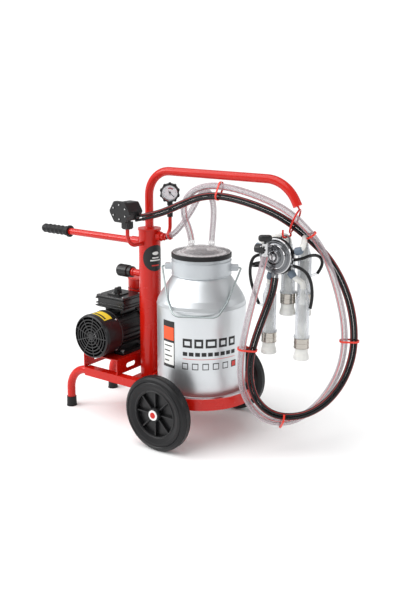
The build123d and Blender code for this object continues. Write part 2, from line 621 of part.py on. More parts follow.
pump_rotor = along_motor([
    (SHAFT_R, HOUSING_Y1 + 13), (37, HOUSING_Y1 + 13), (37, PUMP_Y1 - 13), (SHAFT_R, PUMP_Y1 - 13),
])
for i in range(4):
    notch = Pos(MOTOR_X, (HOUSING_Y1 + PUMP_Y1) / 2, MOTOR_Z) * Rot(0, 45 + i * 90, 0) * Pos(30, 0, 0)
    pump_rotor -= notch * Box(18, 120, 5)
    pump_rotor += notch * Pos(-0.5, 0, 0) * Box(16, PUMP_Y1 - HOUSING_Y1 - 27, 4.4)
save(pump_rotor, "pump_rotor")

silencer = spun([
    (0, 0), (32, 0), (38, 6), (38, 44), (36, 46), (36, 50), (37, 52), (37, 84), (33, 88), (0, 88),
])
save(Pos(MOTOR_X, 96, MOTOR_Z + 80) * silencer, "silencer")

suction_route = [(MOTOR_X + 76, SUCTION_Y, MOTOR_Z), (COLUMN_X, SUCTION_Y, MOTOR_Z), (COLUMN_X, 20, MOTOR_Z)]
suction = bent_tube(suction_route, 11, 30, 8) - column_space
save(suction, "suction_pipe")

# ---- Milk can ----
can_outline = [
    (0, CAN_BOTTOM + 6), (136, CAN_BOTTOM + 6), (136, CAN_BOTTOM), (141, CAN_BOTTOM), (143, CAN_BOTTOM + 12),
    (CAN_R, CAN_BOTTOM + 26), (CAN_R, 452), (147, 466), (138, 484), (121, 510), (104, 536), (NECK_R + 2, 546),
    (NECK_R, 549), (NECK_R, COLLAR_TOP),
]
inner_outline = [(r - CAN_WALL, z) for r, z in reversed(can_outline[7:])]
inner_outline += [
    (CAN_R - CAN_WALL, 451), (CAN_R - CAN_WALL, CAN_BOTTOM + 28), (141, CAN_BOTTOM + 9), (0, CAN_BOTTOM + 9),
]
save(Pos(CAN_X, 0, 0) * spun(can_outline + inner_outline), "milk_can")

ear_place = Pos(CAN_X, 0, 0) * Rot(0, 0, EAR_TURN)
collar = spun([
    (NECK_R, COLLAR_BOTTOM), (COLLAR_R - 1, COLLAR_BOTTOM), (COLLAR_R, COLLAR_BOTTOM + 2), (COLLAR_R, 596),
    (COLLAR_R - 2, 599), (COLLAR_R - 3, COLLAR_TOP), (NECK_R, COLLAR_TOP),
])
for side in (-1, 1):
    collar += Pos(side * 109, 0, EAR_Z) * Box(26, 17, 20)
    collar -= rod((side * 108, 0, EAR_Z), (side * 130, 0, EAR_Z), BAIL_WIRE_R + RUNNING)
collar -= Pos(0, 0, 580) * Cylinder(NECK_R, 200)
save(ear_place * collar, "can_collar")

tilt = radians(BAIL_REST)


def bail_point(along, out):
    """A point in the bail's own plane: along the ears, and out from their axis."""
    return (along, -out * sin(tilt), EAR_Z - out * cos(tilt))


bail_half = [(110, 0), (133, 0), (97, 145), (70, BAIL_LENGTH)]
bail_route = [bail_point(-along, out) for along, out in bail_half]
bail_route += [bail_point(along, out) for along, out in reversed(bail_half)]
bail = bent_tube(bail_route, BAIL_WIRE_R, [5, 60, 28, 28, 60, 5])
save(ear_place * bail, "can_bail")

gasket_z = COLLAR_TOP + GAP
gasket = spun([
    (84, gasket_z), (GASKET_R, gasket_z), (GASKET_R, LID_Z),
    (GASKET_R - 3, LID_Z + 1.5), (GASKET_R - 3, LID_Z),
    (84, LID_Z),
])
save(Pos(CAN_X, 0, 0) * gasket, "lid_gasket")

lid = Pos(0, 0, LID_Z) * spun([
    (0, 24), (20, 23), (44, 18), (62, 10), (70, 4), (97, 4),
    (97, 0), (66, 0), (58, 7), (42, 15), (20, 20), (0, 21),
])
for side in (-1, 1):
    foot_of_nipple = (side * NIPPLE_REACH, 0, LID_Z + 18)
    lid += rod(foot_of_nipple, (side * NIPPLE_REACH, 0, NIPPLE_TOP), 8)
    lid += rod((side * NIPPLE_REACH, 0, NIPPLE_TOP - 8), (side * NIPPLE_REACH, 0, NIPPLE_TOP), 12)
    lid -= rod((side * NIPPLE_REACH, 0, LID_Z), (side * NIPPLE_REACH, 0, NIPPLE_TOP + 1), 5.5)
save(ear_place * lid, "can_lid")

# ---- Milking cluster ----
def on_claw(points):
    return Pos(CLAW_X, 0, CLAW_Z) * spun(points, Axis.Y)


NIPPLE_ANGLES = (-112, -48, 165, 17)      # one milk nipple for each teat cup
NIPPLE_Y = -27
NIPPLE_END = CLAW_R + 16


def claw_point(angle, reach):
    """A point on a milk nipple's axis, at a distance from the claw's own axis."""
    turn = radians(angle)
    return (CLAW_X + reach * cos(turn), NIPPLE_Y, CLAW_Z + reach * sin(turn))


claw_body = on_claw([
    (0, -12), (30, -12), (46, -18), (CLAW_R - 2, -26), (CLAW_R, -32), (CLAW_R, -36), (CLAW_R - 6, -36),
    (CLAW_R - 6, -30), (44, -22), (28, -16), (0, -16),
])
for angle in NIPPLE_ANGLES:
    claw_body += pipe_ring(claw_point(angle, CLAW_R - 6), claw_point(angle, NIPPLE_END), 7, 5)
HOOP_WIRE_R = 2.5
hoop_z = HOOK_FLOOR_Z + HOOK_WIRE_R + HOOP_WIRE_R + 0.1
hoop_route = [(489, -30, 698), (489, -30, hoop_z), (519, -30, hoop_z), (519, -30, 690)]
claw_body += bent_tube(hoop_route, HOOP_WIRE_R, 13)
claw_body -= on_claw([(0, -16), (28, -16), (44, -22), (CLAW_R - 6, -30), (CLAW_R - 6, -40), (0, -40)])
save(claw_body, "claw_body")

claw_cover = on_claw([
    (0, -62), (20, -62), (24, -58), (38, -56), (42, -52), (CLAW_R - 4, -50), (CLAW_R, -46), (CLAW_R, -36.2),
    (CLAW_R - 5, -36.2), (CLAW_R - 5, -45), (40, -48), (20, -54), (0, -56),
])
for distance in (HALF_PAIR, -HALF_PAIR):
    x, y, z = beside(PULSE_ROUTE, distance)[-1]
    claw_cover += pipe_ring((x, y, CLAW_Z - 50), (x, y, z + 1), 4.5, 3)
for route in SHORT_PULSE_ROUTES:
    x, y, z = route[0]
    outward = Vector(x - CLAW_X, 0, z - CLAW_Z).normalized()
    root = Vector(CLAW_X, y, CLAW_Z) + outward * (CLAW_R - 5)
    claw_cover += pipe_ring(tuple(root), tuple(Vector(x, y, z) - outward * 1.5), 4, 2.5)
save(claw_cover, "claw_cover")

OUTLET = (468, -88)
outlet_foot = MILK_ROUTE[-1][2] + 1
BOSS_LENGTH = 14
claw_outlet = rod((*OUTLET, outlet_foot), (*OUTLET, outlet_foot + 38), 10)
claw_outlet += rod((*OUTLET, outlet_foot + 20), (OUTLET[0], -54, outlet_foot + 20), 9)
claw_outlet += rod((*OUTLET, outlet_foot), (*OUTLET, outlet_foot + 5), 12)
claw_outlet += rod((*OUTLET, outlet_foot + 20), (OUTLET[0], OUTLET[1] - BOSS_LENGTH, outlet_foot + 20), 7)
claw_outlet -= rod((*OUTLET, outlet_foot - 1), (*OUTLET, outlet_foot + 30), 7)
claw_outlet -= rod((*OUTLET, outlet_foot + 20), (*OUTLET, outlet_foot + 50), 3.5 + RUNNING)
claw_outlet -= rod((*OUTLET, outlet_foot + 20), (OUTLET[0], OUTLET[1] - 20, outlet_foot + 20), 3)
cap_z = outlet_foot + 20
side_cap = rod((OUTLET[0] - 9, OUTLET[1], cap_z), (OUTLET[0] - 31, OUTLET[1], cap_z), 12.5)
claw_outlet += side_cap - rod((*OUTLET, outlet_foot), (*OUTLET, outlet_foot + 38), 9)
save(claw_outlet - claw_cover - claw_body, "claw_outlet")
button_z = outlet_foot + 44
button = extrude(Plane(origin=(*OUTLET, button_z)) * SlotOverall(42, 24, rotation=36), 20)
button = fillet(button.faces().filter_by(Axis.Z).edges(), 8)
button += rod((*OUTLET, outlet_foot + 32), (*OUTLET, button_z), 3.5)
save(button, "claw_button")
knob_y = OUTLET[1] - BOSS_LENGTH - GAP
star = rod((OUTLET[0], knob_y, outlet_foot + 20), (OUTLET[0], knob_y - 9, outlet_foot + 20), 8)
star += rod((OUTLET[0], knob_y + 4, outlet_foot + 20), (OUTLET[0], knob_y - 9, outlet_foot + 20), 3 - RUNNING)
for i in range(6):
    lobe = Pos(OUTLET[0], knob_y - 4.5, outlet_foot + 20) * Rot(0, i * 60, 0) * Pos(8, 0, 0) * Rot(90, 0, 0)
    star += lobe * Cylinder(3, 9)
save(star, "claw_knob")

shells = []
bands = []
liners = []
CUP_TOP_R = 9
BORE_R = SHELL_R - SHELL_WALL
NECK_BORE_R = CUP_TOP_R + 0.6
for (x, y, mouth), route in zip(CUPS, SHORT_PULSE_ROUTES):
    place = Pos(x, y, mouth)
    shell = place * spun([
        (SHELL_R + 3, 70), (SHELL_R + 3, 76), (SHELL_R, 79), (SHELL_R, 190), (CUP_TOP_R + 3, 218),
        (CUP_TOP_R + 3, 226), (NECK_BORE_R, 226), (NECK_BORE_R, 217), (BORE_R, 189), (BORE_R, 70),
    ])
    on_axis = Vector(x, y, route[-1][2] - 16)
    outward = Vector(*route[-1]) - on_axis
    hose_end = tuple(on_axis + outward * (1 - 1.5 / outward.length))
    on_axis = tuple(on_axis)
    shell += rod(on_axis, hose_end, 4)
    bore = [(0, 60), (BORE_R, 60), (BORE_R, 189), (NECK_BORE_R, 217), (NECK_BORE_R, 240), (0, 240)]
    shell -= place * spun(bore)
    shell -= rod(on_axis, hose_end, 2.5)
    shells.append(shell)
    band_r = SHELL_R + 2
    bands.append(place * spun([(SHELL_R - 0.5, 38), (band_r, 38), (band_r, 70), (SHELL_R - 0.5, 70)]))
    liners.append(place * spun([
        (11, 0), (24, 0), (25, 3), (24.5, 12), (21, 22), (21, 38), (SHELL_R - 0.6, 38), (SHELL_R - 0.6, 70),
        (SHELL_R - 2.6, 70), (15, 82), (14, 180), (CUP_TOP_R, 205), (CUP_TOP_R, CUP_LENGTH), (6, CUP_LENGTH),
        (6, 205), (11, 178), (11.5, 78), (14, 66), (14, 30), (12, 8),
    ]))
save(group(shells), "teat_cup_shells")
save(group(bands), "teat_cup_bands")
save(group(liners), "teat_liners")

# ---- Hoses ----
save(hose(MILK_ROUTE, MILK_HOSE_D, "milk_hose"), "milk_hose")
save(hose(VACUUM_ROUTE, VACUUM_HOSE_D, "vacuum_hose"), "vacuum_hose")
save(hose(beside(PULSE_ROUTE, HALF_PAIR), PULSE_HOSE_D, "pulse_hose_inner"), "pulse_hose_inner")
save(hose(beside(PULSE_ROUTE, -HALF_PAIR), PULSE_HOSE_D, "pulse_hose_outer"), "pulse_hose_outer")
shorts = [hose(route, SHORT_PULSE_D, f"short pulse hose {i}") for i, route in enumerate(SHORT_PULSE_ROUTES)]
save(group(shorts), "short_pulse_hoses")


def tie(milk_run, share, pulse_run):
    """A flat band round the milk hose and the twin pulse hoses, part of the way along a run of each."""
    milk_start, milk_end = [Vector(*point) for point in MILK_ROUTE[milk_run:milk_run + 2]]
    pulse_start, pulse_end = [Vector(*point) for point in PULSE_ROUTE[pulse_run:pulse_run + 2]]
    along = (milk_end - milk_start).normalized()
    milk = milk_start + (milk_end - milk_start) * share
    pulse_way = pulse_end - pulse_start
    pulse = pulse_start + pulse_way * ((milk - pulse_start).dot(along) / pulse_way.dot(along))
    across = pulse - milk
    pair_reach = HALF_PAIR + PULSE_HOSE_D / 2
    length = across.length + MILK_HOSE_D / 2 + pair_reach + 2 * TIE_PLAY
    middle = milk + across.normalized() * (across.length + pair_reach - MILK_HOSE_D / 2) / 2
    width = MILK_HOSE_D + 2 * TIE_PLAY
    ring = SlotOverall(length + 2 * TIE_SHEET, width + 2 * TIE_SHEET) - SlotOverall(length, width)
    plane = Plane(origin=middle - along * TIE_WIDTH / 2, x_dir=across, z_dir=along)
    return extrude(plane * ring, TIE_WIDTH)


TIES = ((5, 0.5, 5), (10, 0.3, 9), (14, 0.6, 14), (19, 0.2, 18), (23, 0.5, 23))
save(group([tie(*where) for where in TIES]), "hose_ties")
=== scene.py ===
"""Looks of the wheeled bucket milking machine: materials, hoses, labels and small detail.

Metres, in the CAD model's own frame.
"""
import json
from math import atan2, cos, pi, radians, sin

import bmesh
import bpy
from mathutils import Matrix, Vector

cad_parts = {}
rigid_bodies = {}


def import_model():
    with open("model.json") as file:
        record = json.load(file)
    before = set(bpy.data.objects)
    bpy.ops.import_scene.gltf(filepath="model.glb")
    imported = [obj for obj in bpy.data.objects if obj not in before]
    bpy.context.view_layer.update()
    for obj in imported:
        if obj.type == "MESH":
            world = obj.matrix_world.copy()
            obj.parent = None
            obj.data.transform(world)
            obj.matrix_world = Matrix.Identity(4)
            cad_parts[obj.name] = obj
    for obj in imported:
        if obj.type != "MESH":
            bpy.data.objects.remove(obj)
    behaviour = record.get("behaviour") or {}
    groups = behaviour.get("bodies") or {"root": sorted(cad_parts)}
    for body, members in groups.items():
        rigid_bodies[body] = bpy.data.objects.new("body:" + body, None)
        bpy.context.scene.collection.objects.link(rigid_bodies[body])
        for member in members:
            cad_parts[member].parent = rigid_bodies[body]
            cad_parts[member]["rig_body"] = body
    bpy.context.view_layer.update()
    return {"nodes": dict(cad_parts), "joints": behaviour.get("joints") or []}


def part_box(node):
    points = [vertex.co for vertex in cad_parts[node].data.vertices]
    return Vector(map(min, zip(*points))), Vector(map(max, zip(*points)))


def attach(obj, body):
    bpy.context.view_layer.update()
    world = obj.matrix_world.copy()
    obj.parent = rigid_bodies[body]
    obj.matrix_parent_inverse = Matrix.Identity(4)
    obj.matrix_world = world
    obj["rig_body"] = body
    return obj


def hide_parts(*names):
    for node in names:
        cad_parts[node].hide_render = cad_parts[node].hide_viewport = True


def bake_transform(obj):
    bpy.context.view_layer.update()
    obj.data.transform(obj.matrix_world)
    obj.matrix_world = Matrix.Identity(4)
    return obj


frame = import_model()


# ---- Places taken from the frame ----
JOINTS = {joint["name"]: joint for joint in frame["joints"]}


def joint_place(name):
    return Vector(JOINTS[name]["pos_m"])


def middle(node):
    low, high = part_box(node)
    return (low + high) / 2


CAN_X = middle("milk_can").x
CAN_R = (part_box("milk_can")[1].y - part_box("milk_can")[0].y) / 2
COLUMN_X = middle("hanger_arm").x - (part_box("hanger_arm")[1].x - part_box("hanger_arm")[0].x) / 2 + 0.0145
COLUMN_R = 0.038
EAR_AXIS = Vector(JOINTS["bail_swing"]["axis"])
EARS = Vector((CAN_X, 0, joint_place("bail_swing").z))
MOTOR = joint_place("rotor_spin")
CLAW = Vector((0.480, -0.034, 0.654))
UP = Vector((0, 0, 1))
PRINT_LIFT = 0.0007                  # how far a second layer of print stands off what it lies on

# ---- Materials ----
RED = (0.60, 0.011, 0.004)
BLACK = (0.008, 0.008, 0.009)


def set_inputs(shader, values):
    for key, value in values.items():
        shader.inputs[key].default_value = value


class Surface:
    """A material's node tree with the few links that most surfaces here need."""

    def __init__(self, name, color, roughness, metallic=0.0, **constants):
        self.material = bpy.data.materials.new(name)
        self.material.use_nodes = True
        self.tree = self.material.node_tree
        self.shader = self.tree.nodes["Principled BSDF"]
        self.color = color
        self.roughness = roughness
        set_inputs(self.shader, {
            "Base Color": (*color, 1), "Roughness": roughness, "Metallic": metallic, **constants,
        })
        self.place = self.tree.nodes.new("ShaderNodeTexCoord").outputs["Object"]

    def node(self, kind, **inputs):
        made = self.tree.nodes.new(kind)
        set_inputs(made, inputs)
        return made

    def link(self, output, target):
        self.tree.links.new(output, target)

    def stretched(self, scale):
        mapping = self.node("ShaderNodeMapping")
        mapping.inputs["Scale"].default_value = scale
        self.link(self.place, mapping.inputs["Vector"])
        return mapping.outputs["Vector"]

    def noise(self, scale, detail=4.0, stretch=None):
        texture = self.node("ShaderNodeTexNoise", Scale=scale, Detail=detail)
        self.link(self.stretched(stretch) if stretch else self.place, texture.inputs["Vector"])
        return texture.outputs["Fac"]

    def vary_roughness(self, source, spread):
        ramp = self.node("ShaderNodeMapRange")
        ramp.inputs["To Min"].default_value = max(0.02, self.roughness - spread)
        ramp.inputs["To Max"].default_value = min(1.0, self.roughness + spread)
        self.link(source, ramp.inputs["Value"])
        self.link(ramp.outputs["Result"], self.shader.inputs["Roughness"])

    def vary_color(self, source, other):
        mix = self.node("ShaderNodeMix")
        mix.data_type = "RGBA"
        mix.inputs["A"].default_value = (*self.color, 1)
        mix.inputs["B"].default_value = (*other, 1)
        self.link(source, mix.inputs["Factor"])
        self.link(mix.outputs["Result"], self.shader.inputs["Base Color"])

    def bump(self, source, strength, distance=0.0003):
        relief = self.node("ShaderNodeBump", Strength=strength, Distance=distance)
        self.link(source, relief.inputs["Height"])
        self.link(relief.outputs["Normal"], self.shader.inputs["Normal"])


def red_paint():
    """Glossy powder coat with faint orange peel."""
    surface = Surface("red_powder_coat", RED, 0.26, **{
        "Specular IOR Level": 0.3, "Coat Weight": 0.15, "Coat Roughness": 0.07,
    })
    surface.bump(surface.noise(320, 3), 0.06)
    surface.vary_roughness(surface.noise(14), 0.07)
    surface.vary_color(surface.noise(6), (0.50, 0.008, 0.003))
    return surface.material


def black_paint():
    surface = Surface("black_gloss_paint", BLACK, 0.30, **{
        "Specular IOR Level": 0.4, "Coat Weight": 0.15, "Coat Roughness": 0.12,
    })
    surface.bump(surface.noise(260, 3), 0.08)
    surface.vary_roughness(surface.noise(18), 0.08)
    return surface.material


def cast_paint():
    """Black paint over a rough casting."""
    surface = Surface("black_cast_paint", (0.010, 0.010, 0.011), 0.36, **{"Specular IOR Level": 0.4})
    surface.bump(surface.noise(420, 6), 0.35)
    surface.vary_roughness(surface.noise(30), 0.1)
    return surface.material


def rubber(name, color, roughness, grain=500.0):
    surface = Surface(name, color, roughness, **{"Specular IOR Level": 0.28})
    surface.bump(surface.noise(grain, 5), 0.16)
    surface.vary_roughness(surface.noise(40), 0.08)
    return surface.material


def black_plastic():
    surface = Surface("black_moulded_plastic", (0.009, 0.009, 0.010), 0.36, **{"Specular IOR Level": 0.4})
    surface.bump(surface.noise(900, 3), 0.12)
    surface.vary_roughness(surface.noise(35), 0.08)
    return surface.material


def can_aluminium():
    """Spun aluminium with fine rings round the can and a soft cloudiness."""
    surface = Surface("spun_aluminium", (0.72, 0.74, 0.76), 0.38, 0.86, **{"Anisotropic": 0.35})
    rings = surface.noise(9, 5, (1, 1, 160))
    surface.bump(rings, 0.10, 0.0002)
    surface.vary_roughness(surface.noise(5), 0.08)
    surface.vary_color(surface.noise(4, 6), (0.56, 0.59, 0.61))
    return surface.material


def cast_aluminium():
    surface = Surface("satin_casting", (0.60, 0.63, 0.65), 0.46, 0.7)
    surface.bump(surface.noise(380, 5), 0.22)
    surface.vary_color(surface.noise(22, 5), (0.50, 0.53, 0.56))
    surface.vary_roughness(surface.noise(25), 0.08)
    return surface.material


def steel(name, color, roughness, stretch=(1, 1, 1)):
    surface = Surface(name, color, roughness, 1.0)
    surface.bump(surface.noise(120, 4, stretch), 0.12, 0.0002)
    surface.vary_roughness(surface.noise(60, 4, stretch), 0.1)
    return surface.material


def see_through(name, color, other, middle_alpha, edge_alpha, roughness):
    """Clear plastic: see-through face on, milky where it is seen along its wall."""
    surface = Surface(name, color, roughness, **{"IOR": 1.42})
    surface.vary_color(surface.noise(9), other)
    surface.vary_roughness(surface.noise(20), 0.03)
    edge = surface.node("ShaderNodeLayerWeight", Blend=0.5)
    ramp = surface.node("ShaderNodeMapRange")
    ramp.inputs["To Min"].default_value = middle_alpha
    ramp.inputs["To Max"].default_value = edge_alpha
    surface.link(edge.outputs["Facing"], ramp.inputs["Value"])
    surface.link(ramp.outputs["Result"], surface.shader.inputs["Alpha"])
    return surface.material


def window():
    """A thin clear pane that lets the light through to what it covers."""
    surface = Surface("clear_lens", (0.9, 0.9, 0.9), 0.04, **{"Alpha": 0.05, "IOR": 1.46})
    surface.bump(surface.noise(40, 2), 0.02)
    return surface.material


def silicone():
    surface = Surface("translucent_silicone", (0.86, 0.86, 0.83), 0.34, **{
        "Subsurface Weight": 0.35, "Subsurface Radius": (0.02, 0.02, 0.018), "Subsurface Scale": 0.3,
        "Transmission Weight": 0.15, "IOR": 1.4,
    })
    surface.bump(surface.noise(150, 3), 0.05)
    surface.vary_color(surface.noise(18), (0.80, 0.80, 0.77))
    return surface.material


def dial_face_painted_glow():
    """White enamel with a painted glow: its emission lifts the face a little, as if more light reached it
    deep behind its lens.
    """
    surface = Surface("dial_enamel_painted_glow", (0.90, 0.90, 0.92), 0.4, **{
        "Emission Color": (0.93, 0.95, 1.0, 1), "Emission Strength": 0.38,
    })
    surface.vary_color(surface.noise(60), (0.84, 0.84, 0.87))
    surface.bump(surface.noise(400), 0.03)
    return surface.material


def plain(name, color, roughness=0.4, metallic=0.0):
    surface = Surface(name, color, roughness, metallic)
    surface.bump(surface.noise(300, 2), 0.04)
    surface.vary_roughness(surface.noise(50), 0.05)
    return surface.material


PAINT = {
    "red": red_paint(),
    "black_paint": black_paint(),
    "cast_black": cast_paint(),
    "rubber": rubber("black_rubber", (0.010, 0.010, 0.011), 0.50),
    "tyre": rubber("tyre_rubber", (0.009, 0.009, 0.010), 0.40, 700.0),
    "hose_black": rubber("black_hose", (0.007, 0.007, 0.008), 0.26, 120.0),
    "plastic": black_plastic(),
    "can": can_aluminium(),
    "casting": cast_aluminium(),
    "steel": steel("satin_steel", (0.60, 0.60, 0.60), 0.32),
    "wire": steel("plated_wire", (0.34, 0.38, 0.38), 0.34),
    "band": steel("brushed_band", (0.46, 0.43, 0.39), 0.26, (1, 1, 14)),
    "chrome": steel("polished_chrome", (0.60, 0.60, 0.61), 0.10),
    "smoky": steel("smoked_bowl", (0.17, 0.175, 0.185), 0.17),
    "lid": see_through("clear_lid", (0.52, 0.49, 0.50), (0.62, 0.59, 0.60), 0.05, 0.55, 0.07),
    "shell": see_through("clear_shell", (0.74, 0.78, 0.84), (0.82, 0.85, 0.89), 0.06, 0.80, 0.06),
    "lens": window(),
    "tube": see_through("clear_hose", (0.48, 0.41, 0.44), (0.57, 0.50, 0.53), 0.20, 0.97, 0.12),
    "silicone": silicone(),
    "tie": plain("red_tie", (0.72, 0.03, 0.012), 0.32),
    "stripe": plain("dark_red_stripe", (0.34, 0.012, 0.012), 0.4),
    "pink_stripe": plain("faded_red_stripe", (0.62, 0.11, 0.12), 0.4),
    "white": plain("white_print", (0.86, 0.86, 0.84), 0.4),
    "pale": plain("pale_washer_and_painted_light", (0.80, 0.80, 0.79), 0.42),
    "dial": dial_face_painted_glow(),
    "ink": plain("black_ink", (0.006, 0.006, 0.007), 0.45),
    "yellow": plain("yellow_label", (0.86, 0.62, 0.04), 0.42),
    "red_ink": plain("red_ink", (0.70, 0.04, 0.03), 0.45),
    "pink_ink": plain("pink_ink", (0.72, 0.10, 0.16), 0.45),
    "orange": plain("orange_ink", (0.85, 0.085, 0.012), 0.42),
    "dark_parts_and_painted_shade": plain("dark_parts_and_painted_shade", (0.02, 0.02, 0.022), 0.7),
    "grey_blue": plain("grey_blue_rubber", (0.11, 0.145, 0.19), 0.42),
    "winding": plain("varnished_winding", (0.30, 0.13, 0.06), 0.5, 0.4),
}

NODE_PAINT = {
    "red": (
        "axle", "can_cradle", "column", "gauge_pipe", "handle_tube", "hanger_arm", "hose_hook",
        "motor_bracket", "pulsator_pipe", "rail_left", "rail_right", "regulator_body", "silencer",
        "suction_pipe", "vacuum_outlet",
    ),
    "black_paint": ("fan_cowl", "terminal_box"),
    "cast_black": ("motor_housing", "pump_body"),
    "rubber": ("handle_grip", "rubber_feet", "lid_gasket", "gauge_case"),
    "tyre": ("tyre_left", "tyre_right"),
    "plastic": (
        "rim_left", "rim_right", "claw_button", "claw_knob", "gauge_needle", "pulsator_body",
        "pulsator_cover", "regulator_cap", "switch_knob", "cooling_fan", "pulsator_screws",
    ),
    "can": ("milk_can",),
    "casting": ("can_collar",),
    "steel": ("motor_bolts", "motor_rotor", "pulsator_shuttle", "pump_rotor"),
    "wire": ("can_bail",),
    "band": ("teat_cup_bands",),
    "chrome": ("claw_outlet",),
    "smoky": ("claw_body", "claw_cover"),
    "lid": ("can_lid",),
    "shell": ("teat_cup_shells",),
    "lens": ("gauge_lens",),
    "silicone": ("teat_liners",),
    "dial": ("gauge_dial",),
    "pale": ("axle_washers",),
    "tie": ("hose_ties",),
    "winding": ("motor_stator",),
}
for paint, nodes in NODE_PAINT.items():
    for node in nodes:
        piece = frame["nodes"][node]
        if not piece.material_slots:
            piece.data.materials.append(PAINT[paint])
        for slot in piece.material_slots:
            slot.material = PAINT[paint]


# ---- Making pieces: each function gives a new object that rides on a body ----
def add_mesh(name, vertices, faces, paint, body="frame", smooth=35):
    mesh = bpy.data.meshes.new(name)
    mesh.from_pydata([tuple(v) for v in vertices], [], faces)
    mesh.validate()
    shape = bmesh.new()
    shape.from_mesh(mesh)
    bmesh.ops.recalc_face_normals(shape, faces=shape.faces)
    shape.to_mesh(mesh)
    shape.free()
    for polygon in mesh.polygons:
        polygon.use_smooth = True
    mesh.set_sharp_from_angle(angle=radians(smooth))
    piece = bpy.data.objects.new(name, mesh)
    mesh.materials.append(PAINT[paint])
    bpy.context.collection.objects.link(piece)
    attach(piece, body)
    return piece


def across(axis):
    """Two directions square to an axis and to each other."""
    axis = Vector(axis).normalized()
    other = Vector((0, 0, 1)) if abs(axis.z) < 0.9 else Vector((1, 0, 0))
    first = axis.cross(other).normalized()
    return first, axis.cross(first).normalized()


def lathe(name, profile, origin, axis, paint, body="frame", segments=64, closed=False):
    """A solid of revolution: profile points are (distance from the axis, distance along it)."""
    axis = Vector(axis).normalized()
    first, second = across(axis)
    origin = Vector(origin)
    vertices = []
    for radius, height in profile:
        for i in range(segments):
            turn = 2 * pi * i / segments
            vertices.append(origin + axis * height + (first * cos(turn) + second * sin(turn)) * radius)
    rings = len(profile)
    faces = []
    for row in range(rings if closed else rings - 1):
        here = row * segments
        there = (row + 1) % rings * segments
        for i in range(segments):
            j = (i + 1) % segments
            faces.append((here + i, here + j, there + j, there + i))
    if not closed:
        faces.append(tuple(range(segments)))
        faces.append(tuple(range((rings - 1) * segments, rings * segments)))
    return add_mesh(name, vertices, faces, paint, body)


def ring(name, origin, axis, radius, wire, paint, body="frame", sides=10, segments=64):
    profile = []
    for i in range(sides):
        turn = 2 * pi * i / sides
        profile.append((radius + wire * cos(turn), wire * sin(turn)))
    return lathe(name, profile, origin, axis, paint, body, segments, closed=True)


def slab(name, low, high, paint, body="frame", edge=0.001, turn=0.0, about=None):
    """A box with softened edges, turned about Z if asked."""
    shape = bmesh.new()
    bmesh.ops.create_cube(shape, size=1)
    low = Vector(low)
    high = Vector(high)
    size = high - low
    for vertex in shape.verts:
        vertex.co = Vector([vertex.co[k] * size[k] for k in range(3)]) + (low + high) / 2
    if edge:
        bmesh.ops.bevel(shape, geom=shape.edges[:], offset=edge, segments=2, affect="EDGES", profile=0.5)
    if turn:
        pivot = Vector(about if about else (low + high) / 2)
        bmesh.ops.rotate(shape, verts=shape.verts, cent=pivot, matrix=Matrix.Rotation(turn, 3, "Z"))
    mesh = bpy.data.meshes.new(name)
    shape.to_mesh(mesh)
    shape.free()
    mesh.materials.append(PAINT[paint])
    piece = bpy.data.objects.new(name, mesh)
    bpy.context.collection.objects.link(piece)
    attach(piece, body)
    return piece


def patch(name, centre_x, radius, angle0, angle1, z0, z1, paint, body="frame", lift=0.0004):
    """A thin print on an upright cylinder, between two angles in degrees and two heights."""
    steps = max(2, int(abs(angle1 - angle0) / 3))
    vertices = []
    for i in range(steps + 1):
        turn = radians(angle0 + (angle1 - angle0) * i / steps)
        reach = radius + lift
        for z in (z0, z1):
            vertices.append((centre_x + reach * cos(turn), reach * sin(turn), z))
    faces = [(2 * i, 2 * i + 2, 2 * i + 3, 2 * i + 1) for i in range(steps)]
    return add_mesh(name, vertices, faces, paint, body)


def disc_patch(name, centre_x, radius, angle, z, reach, paint, lift=0.0004, part=1.0):
    """A round print on an upright cylinder."""
    vertices = [(centre_x + (radius + lift) * cos(angle), (radius + lift) * sin(angle), z)]
    segments = 48
    rings = 6
    for k in range(1, rings + 1):
        for i in range(segments):
            turn = 2 * pi * i / segments
            sideways = reach * k / rings * cos(turn)
            up = reach * k / rings * sin(turn) * part
            place = angle + sideways / radius
            vertices.append((centre_x + (radius + lift) * cos(place), (radius + lift) * sin(place), z + up))
    faces = []
    for i in range(segments):
        faces.append((0, 1 + i, 1 + (i + 1) % segments))
    for k in range(rings - 1):
        for i in range(segments):
            j = (i + 1) % segments
            near = 1 + k * segments
            far = near + segments
            faces.append((near + i, far + i, far + j, near + j))
    return add_mesh(name, vertices, faces, paint)


# ---- Camera, light and floor ----
def camera():
    data = bpy.data.cameras.new("view")
    eye = bpy.data.objects.new("view", data)
    bpy.context.collection.objects.link(eye)
    eye.location = (1.7415, -2.1779, 1.1674)
    eye.rotation_euler = (radians(90 - 12.05), 0, radians(35.92))
    data.lens = 49.4
    data.sensor_width = 36
    data.shift_y = -0.0666
    bpy.context.scene.camera = eye


def lamp(name, place, target, size, power):
    data = bpy.data.lights.new(name, "AREA")
    data.size = size
    data.energy = power
    light = bpy.data.objects.new(name, data)
    bpy.context.collection.objects.link(light)
    light.location = place
    light.rotation_euler = (Vector(target) - Vector(place)).to_track_quat("-Z", "Y").to_euler()


